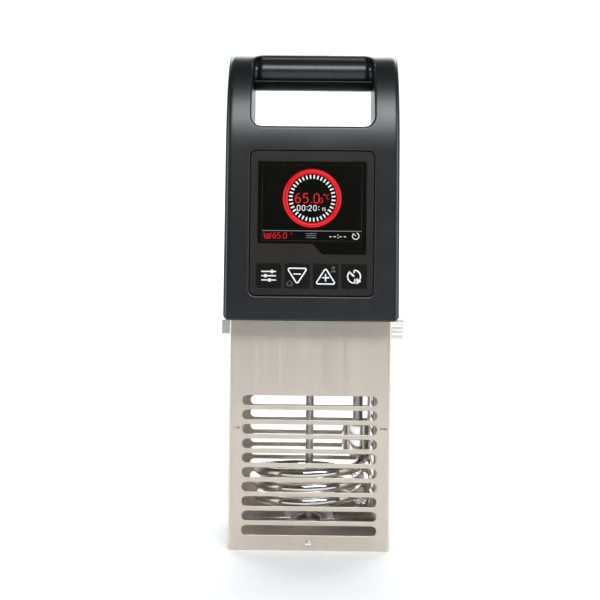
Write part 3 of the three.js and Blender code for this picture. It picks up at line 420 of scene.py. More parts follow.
def blend(make, dark, light, start=0.0, end=1.0):
    """A node that runs from a dark to a light colour."""
    ramp = make("ValToRGB")
    for stop, colour, at in zip(ramp.color_ramp.elements, (dark, light), (start, end)):
        stop.color = (*colour, 1)
        stop.position = at
    return ramp


def dress(wire, shader, tint, gloss, bump):
    """The shader takes its colour, roughness and normal from the three nodes."""
    wire(tint, "Color", (shader, "Base Color"))
    wire(gloss, "Result", (shader, "Roughness"))
    wire(bump, "Normal", (shader, "Normal"))


def moulded_plastic(name, colour, roughness, grain_depth):
    """Satin moulded plastic: a spark eroded grain, and slightly uneven gloss."""
    material, shader, make, wire = new_material(name)
    place = make("TexCoord")
    grain = make("TexNoise", {"Scale": 2600.0, "Detail": 2.0, "Roughness": 0.6})
    cloud = make("TexNoise", {"Scale": 35.0, "Detail": 3.0, "Roughness": 0.5})
    tint = blend(make, [0.86 * c for c in colour], colour, 0.35, 0.65)
    gloss = make("MapRange", {"To Min": roughness - 0.04, "To Max": roughness + 0.04})
    bump = make("Bump", {"Strength": 0.5, "Distance": grain_depth})
    wire(place, "Object", (grain, "Vector"), (cloud, "Vector"))
    wire(cloud, "Fac", (tint, "Fac"), (gloss, "Value"))
    wire(grain, "Fac", (bump, "Height"))
    dress(wire, shader, tint, gloss, bump)
    return material


def settle(piece, body, slot, *stood_for):
    """The piece rides on a body, in place of the CAD nodes it shows. The slot is not used."""
    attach(piece, body)
    if stood_for:
        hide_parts(*stood_for)


satin_black = moulded_plastic("satin_black", (0.010, 0.010, 0.0112), 0.31, 0.00002)
front_shell.data.materials.append(satin_black)
settle(front_shell, "root", "casing", "front_shell")

rear_vents = [head_top - 0.092 - 0.007 * i for i in range(6)]
vent_half = 0.028
rocker_low, rocker_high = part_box("rocker_frame")
gland_low, gland_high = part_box("inlet_gland")
gland_x, _, gland_z = middle("inlet_gland")
rocker_x, _, rocker_z = middle("rocker_frame")
screw_places = [middle(f"case_screw_{i}")[::2] for i in (1, 2, 3, 4)]
hole_depth = 0.004


def rear_half(x, y, z):
    solid = round_both(head_solid(x, y, z), seam + seam_half - y, 0.0003)
    for vent in rear_vents:
        slot = round_rectangle(x, z - vent, vent_half, 0.0015, 0.00149)
        solid = round_both(solid, -slot, 0.0004)
    holes = [round_rectangle(x - rocker_x, z - rocker_z, 0.0063, 0.0102, 0.0006)]
    holes.append(np.hypot(x - gland_x, z - gland_z) - 0.0083)
    holes += [np.hypot(x - screw_x, z - screw_z) - 0.0020 for screw_x, screw_z in screw_places]
    for hole in holes:
        solid = np.maximum(solid, -np.maximum(hole, head_rear - hole_depth - y))
    return solid


rear_x = x_features + [
    -vent_half, vent_half, rocker_low.x + 0.002, rocker_high.x - 0.002, gland_low.x, gland_high.x,
]
rear_y = [seam, grip_back, head_rear, head_rear - wall]
rear_z = [
    head_bottom, head_bottom + 0.002, opening_floor, opening_floor + rounding, head_top - 0.004,
    rocker_z, gland_z, *rear_vents,
]
rear_shell = skin("rear_shell_skin", rear_half, (
    grid_lines(-head_half, head_half, 0.0019, rear_x, 0.0018),
    grid_lines(seam, head_rear, 0.0015, rear_y, 0.0016),
    grid_lines(head_bottom, head_top, 0.0018, rear_z, 0.0020),
))
rear_shell.data.materials.append(satin_black)
settle(rear_shell, "root", "casing", "rear_shell")

cover_gap = 0.0003
cover_outline = grip_shape(cover_gap)


def lower_cover(x, y, z):
    bar = round_both(cover_outline(y, z), np.abs(x) - (opening_half - cover_gap), 0.0004)
    return round_both(bar, z - (grip_split - cover_gap), 0.0010)


cover_low, cover_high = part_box("grip_lower")
grip_lower = skin("grip_lower_skin", lower_cover, (
    grid_lines(cover_low.x, cover_high.x, 0.004, [-opening_half, opening_half], 0.002, 0.0007),
    grid_lines(cover_low.y, cover_high.y, 0.001, [cover_low.y, cover_high.y], 0.002),
    grid_lines(cover_low.z, cover_high.z, 0.0008, [cover_low.z, cover_high.z], 0.002),
))
grip_lower.data.materials.append(satin_black)
settle(grip_lower, "root", "casing", "grip_lower")

# ------------------------------------------------------------------ control panel
# A plate of dark printed film on a stiff backing, glued into the recess of the front shell.
# It has one cut-out for the window, with a slanted step in its lower edge, and four for keys.


def rounded_polygon(corners, radius, steps=6):
    """A closed loop through the corners with each one rounded, counter-clockwise."""
    corners = [np.array(c, float) for c in corners]
    radii = radius if isinstance(radius, (list, tuple)) else [radius] * len(corners)
    loop = []
    for i, (corner, r) in enumerate(zip(corners, radii)):
        back = corners[i - 1] - corner
        ahead = corners[(i + 1) % len(corners)] - corner
        back /= np.linalg.norm(back)
        ahead /= np.linalg.norm(ahead)
        half = 0.5 * math.acos(np.clip(back @ ahead, -1, 1))
        middle = back + ahead
        centre = corner + middle / np.linalg.norm(middle) * r / math.sin(half)
        start = corner + back * r / math.tan(half) - centre
        end = corner + ahead * r / math.tan(half) - centre
        a = math.atan2(start[1], start[0])
        sweep = (math.atan2(end[1], end[0]) - a + math.pi) % (2 * math.pi) - math.pi
        for k in range(steps + 1):
            angle = a + sweep * k / steps
            loop.append(centre + r * np.array([math.cos(angle), math.sin(angle)]))
    return np.array(loop)


def rectangle_loop(x0, z0, x1, z1, radius, steps=6):
    return rounded_polygon([(x0, z0), (x1, z0), (x1, z1), (x0, z1)], radius, steps)


def offset_loop(loop, amount):
    """The loop moved outwards by an amount."""
    before = loop - np.roll(loop, 1, axis=0)
    after = np.roll(loop, -1, axis=0) - loop
    n1 = np.stack([before[:, 1], -before[:, 0]], 1) / np.linalg.norm(before, axis=1)[:, None]
    n2 = np.stack([after[:, 1], -after[:, 0]], 1) / np.linalg.norm(after, axis=1)[:, None]
    mitre = n1 + n2
    return loop + mitre * (2 * amount / (mitre ** 2).sum(1))[:, None]


def inside_loop(loop, points):
    """Which of the points lie inside the loop."""
    ends = np.roll(loop, -1, axis=0)
    inside = np.zeros(len(points), bool)
    for (u0, v0), (u1, v1) in zip(loop, ends):
        if v0 != v1:
            u = u0 + (points[:, 1] - v0) * (u1 - u0) / (v1 - v0)
            inside ^= ((v0 > points[:, 1]) != (v1 > points[:, 1])) & (points[:, 0] < u)
    return inside


def cut_plate(outline, holes, thickness, edge, creases=(), rounds=3):
    """A flat plate with holes and rounded edges: places (u, v, depth) and faces."""
    loops = [(outline, -1)] + [(hole, 1) for hole in holes]
    flat = np.vstack([offset_loop(loop, side * edge) for loop, side in loops])
    ties, start = list(creases), 0
    for loop, _ in loops:
        count = len(loop)
        ties += [(start + i, start + (i + 1) % count) for i in range(count)]
        start += count
    found = delaunay_2d_cdt([Vector(p) for p in flat], ties, [], 1, 1e-9)
    origins = found[3]
    triangles = np.array([[origins[i][0] for i in face] for face in found[2]])
    middles = flat[triangles].mean(1)
    keep = inside_loop(outline, middles)
    for hole in holes:
        keep &= ~inside_loop(hole, middles)
    triangles = triangles[keep]
    quarter = [math.pi / 2 * k / rounds for k in range(rounds + 1)]
    levels = [(edge * (1 - math.sin(a)), edge * (1 - math.cos(a))) for a in quarter]
    levels += [(pull, thickness - depth) for pull, depth in reversed(levels)]
    points = []
    for pull, depth in levels:
        ring = np.vstack([offset_loop(loop, side * pull) for loop, side in loops])
        points.append(np.column_stack([ring, np.full(len(ring), depth)]))
    count = len(flat)
    faces = triangles.tolist() + (triangles[:, ::-1] + count * (len(levels) - 1)).tolist()
    start = 0
    for loop, _ in loops:
        for level in range(len(levels) - 1):
            low = level * count + start
            for i in range(len(loop)):
                j = (i + 1) % len(loop)
                faces.append([low + i, low + j, low + count + j, low + count + i])
        start += len(loop)
    return np.vstack(points), faces


def new_piece(name, points, faces, material, even=True):
    """A smooth shaded mesh with its faces turned outwards."""
    shape = bmesh.new()
    verts = [shape.verts.new(p) for p in points]
    for face in faces:
        shape.faces.new([verts[i] for i in face]).smooth = True
    bmesh.ops.recalc_face_normals(shape, faces=shape.faces)
    data = bpy.data.meshes.new(name)
    shape.to_mesh(data)
    shape.free()
    data.materials.append(material)
    piece = linked(name, data)
    if even:
        piece.modifiers.new("even_faces", "WEIGHTED_NORMAL")
    return piece


def add_piece(name, points, faces, material, body, slot, *stood_for):
    settle(new_piece(name, points, faces, material), body, slot, *stood_for)


def facing_front(points, front):
    """Places (u, v, depth) put up as X, Z and depth behind a front plane."""
    return np.column_stack([points[:, 0], front + points[:, 2], points[:, 1]])


window_low, window_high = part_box("display_window")
step_left = 0.0004
step_right = step_left + 0.0070
step_high = window_low.z + 0.0074


def window_outline(grow):
    corners = [
        (window_low.x - grow, step_high - grow), (step_left + grow / 2, step_high - grow),
        (step_right + grow / 2, window_low.z - grow), (window_high.x + grow, window_low.z - grow),
        (window_high.x + grow, window_high.z + grow), (window_low.x - grow, window_high.z + grow),
    ]
    return rounded_polygon(corners, [0.0010, 0.0008, 0.0008, 0.0010, 0.0006, 0.0006])


def printed_film(name, colour, roughness):
    """Satin film: the fine even texture of its top coat, with faint clouds in the print."""
    material, shader, make, wire = new_material(name, Specular_IOR_Level=0.25)
    place = make("TexCoord")
    texture = make("TexVoronoi", {"Scale": 3200.0})
    cloud = make("TexNoise", {"Scale": 60.0, "Detail": 4.0})
    tint = blend(make, [0.9 * c for c in colour], [1.1 * c for c in colour])
    gloss = make("MapRange", {"To Min": roughness - 0.05, "To Max": roughness + 0.05})
    bump = make("Bump", {"Strength": 0.35, "Distance": 0.000012})
    wire(place, "Object", (texture, "Vector"), (cloud, "Vector"))
    wire(cloud, "Fac", (tint, "Fac"), (gloss, "Value"))
    wire(texture, "Distance", (bump, "Height"))
    dress(wire, shader, tint, gloss, bump)
    return material


key_half = 0.0085
panel_holes = [window_outline(0.0003)]
for x, z in key_centres:
    reach = key_half + 0.0003
    panel_holes.append(rectangle_loop(x - reach, z - reach, x + reach, z + reach, 0.0012))
panel_edge = rectangle_loop(panel_low.x, panel_low.z, panel_high.x, panel_high.z, panel_corner, 8)
points, faces = cut_plate(panel_edge, panel_holes, panel_high.y - panel_low.y, 0.00022)
brown_film = printed_film("brown_film", (0.0165, 0.0138, 0.0120), 0.36)
add_piece(
    "control_panel_plate", facing_front(points, panel_low.y), faces, brown_film,
    "root", "panel_film", "control_panel",
)

# ------------------------------------------------------------------ display window
# A pane of black tinted glass, glued in behind the cut-out of the panel. The screen lies
# against its back, and its lit parts show through: a red ring, ticks, digits and small icons.

window_glass, shader, make, wire = new_material(
    "black_glass", Coat_Weight=0.35, Coat_Roughness=0.03,
)
place = make("TexCoord")
smear = make("TexNoise", {"Scale": 22.0, "Detail": 5.0, "Distortion": 1.2})
gloss = make("MapRange", {"To Min": 0.07, "To Max": 0.16})
depth = blend(make, (0.0038, 0.0038, 0.0030), (0.0052, 0.0050, 0.0038))
wire(place, "Object", (smear, "Vector"))
wire(smear, "Fac", (gloss, "Value"), (depth, "Fac"))
wire(gloss, "Result", (shader, "Roughness"))
wire(depth, "Color", (shader, "Base Color"))
window_front = window_low.y
points, faces = cut_plate(window_outline(0), [], window_high.y - window_front, 0.00012)
add_piece(
    "display_window_pane", facing_front(points, window_front), faces, window_glass,
    "root", "window_glass", "display_window",
)


def lit_material(name, colour):
    """A lit part of the screen, in a fine dot pattern."""
    material, shader, make, wire = new_material(
        name, Emission_Color=(*colour, 1), Base_Color=(*[0.05 * c for c in colour], 1),
        Roughness=0.3, Specular_IOR_Level=0.2,
    )
    place = make("TexCoord")
    dots = make("TexNoise", {"Scale": 5200.0, "Detail": 0.0})
    level = make("MapRange", {"To Min": 0.88, "To Max": 1.12})
    wire(place, "Object", (dots, "Vector"))
    wire(dots, "Fac", (level, "Value"))
    wire(level, "Result", (shader, "Emission Strength"))
    return material


def arc_line(x, z, radius, start, end, steps=24):
    angles = np.radians(np.linspace(start, end, steps + 1))
    return np.column_stack([x + radius * np.sin(angles), z + radius * np.cos(angles)])


digit_lines = {
    "0": ([(0, .2), (.12, .03), (.27, 0), (.42, .03), (.54, .2), (.54, .8), (.42, .97), (.27, 1),
           (.12, .97), (0, .8)], True),
    "1": ([(.12, .78), (.36, 1), (.36, 0)], False),
    "2": ([(0, .8), (.08, .93), (.26, 1), (.44, .95), (.53, .8), (.5, .62), (0, 0),
           (.54, 0)], False),
    "5": ([(.5, 1), (.06, 1), (.03, .56), (.26, .62), (.45, .54), (.54, .33), (.46, .1), (.26, 0),
           (0, .06)], False),
    "6": ([(.46, .98), (.26, .97), (.08, .78), (0, .4), (.04, .14), (.2, 0), (.4, .02), (.54, .2),
           (.54, .42), (.42, .57), (.24, .59), (.04, .46)], False),
    "C": ([(.5, .9), (.3, 1), (.1, .9), (0, .6), (0, .4), (.1, .1), (.3, 0), (.5, .1)], False),
    "-": ([(.06, .42), (.48, .42)], False),
}


raised = 0.00004


def strokes_on(front):
    """Thin flat strokes on a front plane: what adds a stroke or digits, and what ends them."""
    points, faces = [], []

    def stroke(line, width, closed=False, level=0):
        line = np.array(line, float)
        count = len(line)
        back = line - np.roll(line, 1, axis=0)
        ahead = np.roll(line, -1, axis=0) - line
        if not closed:
            back[0], ahead[-1] = ahead[0], back[-1]
        sides = []
        for step in (back, ahead):
            length = np.maximum(np.linalg.norm(step, axis=1), 1e-9)
            sides.append(np.stack([step[:, 1], -step[:, 0]], 1) / length[:, None])
        mitre = sides[0] + sides[1]
        mitre *= (width / np.maximum((mitre ** 2).sum(1), 0.8))[:, None]
        start = len(points)
        plane = front - level * raised
        for (x, z), (mx, mz) in zip(line, mitre):
            for sign in (-1, 1):
                for y in (plane - raised, plane):
                    points.append((x + sign * mx, y, z + sign * mz))
        for i in range(count if closed else count - 1):
            a, b = start + 4 * i, start + 4 * ((i + 1) % count)
            for p, q in ((0, 2), (2, 3), (3, 1), (1, 0)):
                faces.append([a + p, a + q, b + q, b + p])
        if not closed:
            last = start + 4 * (count - 1)
            faces.append([start, start + 1, start + 3, start + 2])
            faces.append([last, last + 2, last + 3, last + 1])

    def write(text, x, z, height, width, pitch=0.78):
        for sign in text:
            if sign in ".:":
                for rise in ((0.0,) if sign == "." else (0.12, 0.66)):
                    dot_x, dot_z = x + 0.05 * height, z + rise * height
                    stroke([(dot_x, dot_z), (dot_x, dot_z + 1.1 * width)], 1.25 * width)
                x += 0.30 * height
                continue
            line, closed = digit_lines[sign]
            stroke([(x + u * height, z + v * height) for u, v in line], width, closed)
            x += pitch * height

    def finish(name, material, body, slot):
        if points:
            settle(new_piece(name, points, faces, material, even=False), body, slot)

    return stroke, write, finish


ring_x = (window_low.x + window_high.x) / 2
ring_z = window_high.z - 0.0258
divider_z = ring_z - 0.0229
row_z = divider_z - 0.0054
row_left = window_low.x + 0.0045
stroke, write, finish = strokes_on(window_front)
stroke(arc_line(ring_x, ring_z, 0.0189, 0, 356.25, 95), 0.0033, True)
write("65.0", ring_x - 0.0118, ring_z - 0.0033, 0.0065, 0.00070, 0.86)
write("0", ring_x + 0.0054, ring_z - 0.0033, 0.0034, 0.00042)
stroke(arc_line(ring_x + 0.0086, ring_z + 0.0027, 0.0006, 0, 330, 11), 0.0004, True)
write("C", ring_x + 0.0102, ring_z - 0.0006, 0.0032, 0.00045)
write("65.0", row_left + 0.0062, row_z, 0.0040, 0.00042)
write("C", row_left + 0.0190, row_z + 0.0026, 0.0014, 0.00025)
pot = [(0, .0042), (.0003, .0008), (.0010, 0), (.0040, 0), (.0047, .0008), (.0050, .0042)]
stroke([(row_left + x, row_z + z) for x, z in pot], 0.0005)
for rise in (0.0010, 0.0020, 0.0030):
    left, level = row_left + 0.0009, row_z + rise
    stroke([(left + 0.0008 * k, level + 0.00018 * (-1) ** k) for k in range(5)], 0.00038)
red_light = lit_material("red_light", (0.72, 0.004, 0.010))
finish("screen_red_marks", red_light, "root", "display_red")

stroke, write, finish = strokes_on(window_front)
centre = np.array([ring_x, ring_z])
for i in range(36):
    angle = math.radians(5 + 10 * i)
    away = np.array([math.sin(angle), math.cos(angle)])
    stroke([centre + 0.0137 * away, centre + 0.0164 * away], 0.00105)
write("00:20:", ring_x - 0.0104, ring_z - 0.0087, 0.0037, 0.00050, 0.93)
write("15", ring_x + 0.0067, ring_z - 0.0087, 0.0021, 0.00035)
write("--:--", ring_x + 0.0121, row_z, 0.0036, 0.00055, 0.84)
clock_x = window_high.x - 0.0072
stroke(arc_line(clock_x, row_z + 0.0021, 0.0023, 20, 320, 20), 0.00055)
stroke([(clock_x, row_z + 0.0021), (clock_x - 0.0011, row_z + 0.0034)], 0.0005)
white_light = lit_material("white_light", (0.86, 0.88, 0.88))
finish("screen_white_marks", white_light, "root", "display_white")

stroke, write, finish = strokes_on(window_front)
stroke([(window_low.x + 0.0030, divider_z), (window_high.x - 0.0032, divider_z)], 0.0006)
for k, knob in enumerate((0.7, 0.3, 0.55)):
    level = row_z + 0.0007 + 0.0014 * k
    stroke([(ring_x - 0.0042, level), (ring_x + 0.0032, level)], 0.0004)
    slide = ring_x - 0.0042 + 0.0074 * knob
    stroke([(slide - 0.0004, level), (slide + 0.0004, level)], 0.0010, level=1)
grey_light = lit_material("grey_light", (0.17, 0.17, 0.18))
finish("screen_grey_marks", grey_light, "root", "display_white")

stroke, write, finish = strokes_on(window_front)
left, right = window_low.x + 0.0029, window_high.x - 0.0031
low, high = divider_z - 0.0070, window_high.z - 0.0026
stroke([(left, low), (right, low), (right, high), (left, high)], 0.0003, True)
dim_light = lit_material("dim_light", (0.009, 0.009, 0.009))
finish("screen_edge_line", dim_light, "root", "display_white")

# ------------------------------------------------------------------ keys
# Four square caps of black film over moulded plungers, each just proud of the panel. White
# icons are printed on them, with a small brown one for a second use on two of them.

key_film = printed_film("key_film", (0.0035, 0.0036, 0.0026), 0.30)
white_print = printed_film("white_print", (0.78, 0.78, 0.78), 0.45)
brown_print = printed_film("brown_print", (0.085, 0.075, 0.070), 0.45)
icon_half = 0.00095


def triangle(x, z, rise):
    """A triangle with its tip up for a rise of 1, and down for -1."""
    foot, tip = z - 0.0054 * rise, z + 0.0056 * rise
    return rounded_polygon([(x - 0.0070, foot), (x + 0.0070, foot), (x, tip)][::rise], 0.0009, 4)


key_bodies = ("set_button", "minus_button", "plus_button", "timer_button")
cap_height = 0.0010
for name, body, (x, z) in zip(key_names, key_bodies, key_centres):
    low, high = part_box(name)
    front = low.y
    cap = rectangle_loop(x - key_half, z - key_half, x + key_half, z + key_half, 0.0012)
    points, faces = cut_plate(cap, [], cap_height, 0.00025)
    points = facing_front(points, front)
    stem = rectangle_loop(x - 0.0045, z - 0.0045, x + 0.0045, z + 0.0045, 0.0006)
    more, more_faces = cut_plate(stem, [], high.y - front - cap_height, 0.0002)
    faces += [[i + len(points) for i in face] for face in more_faces]
    points = np.vstack([points, facing_front(more, front + cap_height)])
    add_piece(name + "_cap", points, faces, key_film, body, "key_film", name)
    stroke, _, finish = strokes_on(front)
    small_stroke, _, finish_small = strokes_on(front)
    if name == "set_key":
        for k, knob in enumerate((0.72, 0.28, 0.55)):
            level = z + 0.0030 * (1 - k)
            stroke([(x - 0.0052, level), (x + 0.0052, level)], 0.0009)
            slide = x - 0.0052 + 0.0104 * knob
            stroke([(slide - 0.0008, level), (slide + 0.0008, level)], 0.0023, level=1)
    elif name == "minus_key":
        stroke(triangle(x, z, -1), icon_half, True)
        stroke([(x - 0.0026, z + 0.0014), (x + 0.0026, z + 0.0014)], 0.0009)
        wall_x, eaves_x, eaves, ridge = 0.0016, 0.0022, 0.0016, 0.0034
        house = [(-wall_x, 0), (-wall_x, eaves), (-eaves_x, eaves), (0, ridge)]
        house += [(-u, v) for u, v in house[2::-1]]
        small_stroke([(x - 0.0052 + u, z - 0.0068 + v) for u, v in house], 0.0007, True)
    elif name == "plus_key":
        stroke(triangle(x, z, 1), icon_half, True)
        stroke([(x - 0.0026, z - 0.0010), (x + 0.0026, z - 0.0010)], 0.0009)
        stroke([(x, z - 0.0036), (x, z + 0.0016)], 0.0009, level=1)
        small_stroke(arc_line(x + 0.0054, z + 0.0059, 0.0007, 0, 330, 11), 0.0009, True)
        small_stroke([(x + 0.0037, z + 0.0035), (x + 0.0071, z + 0.0035)], 0.0014)
    else:
        stroke(arc_line(x, z, 0.0045, 0, 118, 16), icon_half)
        stroke(arc_line(x, z, 0.0045, 178, 322, 20), icon_half)
        stroke([(x, z + 0.0045), (x, z + 0.0024)], icon_half)
        stroke([(x - 0.0026, z + 0.0026), (x, z)], 0.0013)
        stroke([(x + 0.0006, z - 0.0049), (x + 0.0006, z - 0.0015)], 0.0009)
        play = [(x + 0.0022, z - 0.0046), (x + 0.0022, z - 0.0018), (x + 0.0042, z - 0.0032)]
        stroke(play, 0.0010, True)
    finish(name + "_icon", white_print, body, "legend_print")
    finish_small(name + "_small_icon", brown_print, body, "legend_print")

# ------------------------------------------------------------------ guard
# Two pieces of brushed stainless sheet, cut by laser: the front one is bent round both sides,
# and the flat back one closes it. A tray shaped plate shuts the lower end, and two slotted
# screws hold it, one in front and one behind.


def brushed_steel(name, colour, roughness, along=(900.0, 900.0, 7.0), depth=0.000006, mottle=0.10):
    """Brushed sheet: long fine scratches along the grain, and cloudy patches of tarnish."""
    material, shader, make, wire = new_material(name, Metallic=1.0)
    place = make("TexCoord")
    stretch = make("VectorMath", {1: along}, operation="MULTIPLY")
    grain = make("TexNoise", {"Scale": 1.0, "Detail": 6.0, "Roughness": 0.7})
    broad = make("VectorMath", {1: [0.12 * a for a in along]}, operation="MULTIPLY")
    streak = make("TexNoise", {"Scale": 1.0, "Detail": 4.0, "Roughness": 0.6})
    cloud = make("TexNoise", {"Scale": 28.0, "Detail": 5.0, "Roughness": 0.65})
    both = make("Math", operation="ADD")
    half = make("Math", {1: 0.5}, operation="MULTIPLY")
    light = [min(1.0, (1 + mottle) * c) for c in colour]
    tint = blend(make, [(1 - 2 * mottle) * c for c in colour], light, 0.30, 0.72)
    gloss = make("MapRange", {
        "From Min": 0.3, "From Max": 0.7, "To Min": roughness - 0.07, "To Max": roughness + 0.08,
    })
    bump = make("Bump", {"Strength": 0.6, "Distance": depth})
    wire(place, "Object", (stretch, 0), (broad, 0), (cloud, "Vector"))
    wire(stretch, "Vector", (grain, "Vector"))
    wire(broad, "Vector", (streak, "Vector"))
    wire(streak, "Fac", (both, 0))
    wire(cloud, "Fac", (both, 1))
    wire(both, "Value", (half, 0))
    wire(half, "Value", (tint, "Fac"))
    wire(grain, "Fac", (gloss, "Value"), (bump, "Height"))
    dress(wire, shader, tint, gloss, bump)
    return material


guard_low, guard_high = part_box("front_guard")
back_low, back_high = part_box("back_guard")
sheet = back_high.y - back_low.y
sheet_edge = 0.00035
bend_outer = 0.0018
corner_cut = 0.002
slot_length = 0.0974
slot_height = 0.007
slot_pitch = 0.01041
lowest_slot = 0.0146
screw_hole = 0.0020
base_screw_z = middle("base_screw_front")[2]
_, side_screw_y, side_screw_z = middle("guard_screw_1")
side_screw_y = abs(side_screw_y)


def obround_loop(x, z, length, height, steps=10):
    half_x, half_z = length / 2, height / 2
    return rectangle_loop(x - half_x, z - half_z, x + half_x, z + half_z, 0.4999 * height, steps)


def circle_loop(x, z, radius, steps=24):
    angles = np.linspace(0, 2 * math.pi, steps, endpoint=False)
    return np.column_stack([x + radius * np.cos(angles), z + radius * np.sin(angles)])


bend_middle = bend_outer - sheet / 2
bend_start = guard_high.x - bend_outer
bend_run = bend_middle * math.pi / 2
bend_end = bend_start + bend_run
side_length = guard_high.y - (guard_low.y + bend_outer)
blank_half = bend_end + side_length
bend_steps = 6
crease_u = [bend_start + bend_run * k / bend_steps for k in range(bend_steps + 1)]
lower = [(-blank_half, corner_cut)]
for u in [-c for c in reversed(crease_u)] + crease_u:
    share = (abs(u) - bend_start) / bend_run
    lower.append((u, corner_cut * min(1, share * 1.4)))
lower.append((blank_half, corner_cut))
upper = [(u, guard_high.z) for u, _ in reversed(lower)]
blank = np.array(lower + upper)
count = len(lower)
creases = [(i, 2 * count - 1 - i) for i in range(1, count - 1)]
slots = [obround_loop(0, lowest_slot + slot_pitch * i, slot_length, slot_height) for i in range(10)]
holes = list(slots)
holes += [obround_loop(x, 0.0883, 0.005, 0.0015, 5) for x in (-0.053, 0.053)]
holes.append(circle_loop(0, base_screw_z, screw_hole))
for side in (-1, 1):
    for y in (-side_screw_y, side_screw_y):
        along = bend_end + y - guard_low.y - bend_outer
        holes.append(circle_loop(side * along, side_screw_z, screw_hole))
points, faces = cut_plate(blank, holes, sheet, sheet_edge, creases)
u, v, depth = points.T
side = np.sign(u)
turned = np.clip((np.abs(u) - bend_start) / bend_run, 0, 1) * math.pi / 2
run_on = np.maximum(np.abs(u) - bend_end, 0)
flat_part = np.minimum(np.abs(u), bend_start)
radius = bend_outer - depth
x = side * (flat_part + radius * np.sin(turned))
y = guard_low.y + bend_outer - radius * np.cos(turned) + run_on
sheet_steel = brushed_steel("brushed_sheet_steel", (0.70, 0.63, 0.545), 0.38, mottle=0.03)
add_piece(
    "front_guard_sheet", np.column_stack([x, y, v]), faces, sheet_steel,
    "root", "brushed_sheet", "front_guard",
)

back_loop = rectangle_loop(back_low.x, back_low.z, back_high.x, back_high.z, 0.0005, 3)
holes = slots[2:] + [circle_loop(0, base_screw_z, screw_hole)]
points, faces = cut_plate(back_loop, holes, sheet, sheet_edge)
add_piece(
    "back_guard_sheet", facing_front(points, back_low.y), faces, sheet_steel,
    "root", "brushed_sheet", "back_guard",
)

plate_low, plate_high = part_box("bottom_plate")
plate_bend = 0.0016
flange = plate_high.z - plate_low.z
side_reach = plate_high.y - plate_bend
bend_run = (plate_bend - sheet / 2) * math.pi / 2
tray_end = side_reach + bend_run + flange - plate_bend
crease_v = [side_reach + bend_run * k / 4 for k in range(5)]
inner_x = plate_high.x - corner_cut
left = [(-plate_high.x, -tray_end)]
for v in [-c for c in reversed(crease_v)] + crease_v:
    left.append((-inner_x if abs(v) <= side_reach else -plate_high.x, v))
left.append((-plate_high.x, tray_end))
tray = np.array([(-x, v) for x, v in left] + left[::-1])
count = len(left)
creases = [(i, 2 * count - 1 - i) for i in range(1, count - 1)]
rise = base_screw_z - plate_bend
holes = [circle_loop(0, side * (side_reach + bend_run + rise), screw_hole) for side in (-1, 1)]
points, faces = cut_plate(tray, holes, sheet, 0.0003, creases)
u, v, depth = points.T
turned = np.clip((np.abs(v) - side_reach) / bend_run, 0, 1) * math.pi / 2
run_on = np.maximum(np.abs(v) - side_reach - bend_run, 0)
radius = plate_bend - depth
y = np.sign(v) * (np.minimum(np.abs(v), side_reach) + radius * np.sin(turned))
z = plate_low.z + plate_bend - radius * np.cos(turned) + run_on
plate_steel = brushed_steel(
    "brushed_plate_steel", (0.84, 0.80, 0.75), 0.20, (9.0, 500.0, 500.0), 0.000002, 0.04,
)
add_piece(
    "bottom_plate_tray", np.column_stack([u, y, z]), faces, plate_steel,
    "root", "brushed_sheet", "bottom_plate",
)


def turn_profile(profile, sides=48):
    """Places and faces of a closed profile of (radius, height) turned about Z."""
    points, faces, rings = [], [], []
    for radius, height in profile:
        if radius < 1e-7:
            rings.append([len(points)] * sides)
            points.append((0, 0, height))
        else:
            rings.append(list(range(len(points), len(points) + sides)))
            for i in range(sides):
                a = 2 * math.pi * i / sides
                points.append((radius * math.cos(a), radius * math.sin(a), height))
    closed = profile[0][0] > 1e-7 or profile[-1][0] > 1e-7
    pairs = list(zip(rings, rings[1:] + ([rings[0]] if closed else [])))
    for low, high in pairs:
        for i in range(sides):
            j = (i + 1) % sides
            face = list(dict.fromkeys((low[i], low[j], high[j], high[i])))
            if len(face) > 2:
                faces.append(face)
    return np.array(points), faces


def soften(profile, radius, steps=3):
    """The closed profile with its corners rounded, apart from the ones on the axis."""
    rounded = []
    for i, corner in enumerate(profile):
        corner = np.array(corner, float)
        back = np.array(profile[i - 1], float) - corner
        ahead = np.array(profile[(i + 1) % len(profile)], float) - corner
        reach = min(np.linalg.norm(back), np.linalg.norm(ahead)) * 0.45
        if corner[0] < 1e-7 or reach < 1e-7:
            rounded.append(tuple(corner))
            continue
        back /= np.linalg.norm(back)
        ahead /= np.linalg.norm(ahead)
        r = min(radius, reach)
        for t in np.arange(steps + 1) / steps:
            rounded.append(tuple(corner + back * r * (1 - t) ** 2 + ahead * r * t ** 2))
    return rounded


def upright(points, at, axis="z"):
    """Turned places put at a spot, with their Z laid along an axis."""
    x, y, z = np.asarray(points, float).T
    laid = {
        "z": (x, y, z), "y": (x, z, -y), "x": (z, y, -x),
        "-z": (x, -y, -z), "-y": (x, -z, y), "-x": (-z, y, x),
    }[axis]
    return np.column_stack(laid) + np.array(at)


fastener_steel = brushed_steel(
    "fastener_steel", (0.58, 0.57, 0.55), 0.27, (1500.0, 1500.0, 1500.0), 0.000004, 0.14,
)


head_height = 0.0016


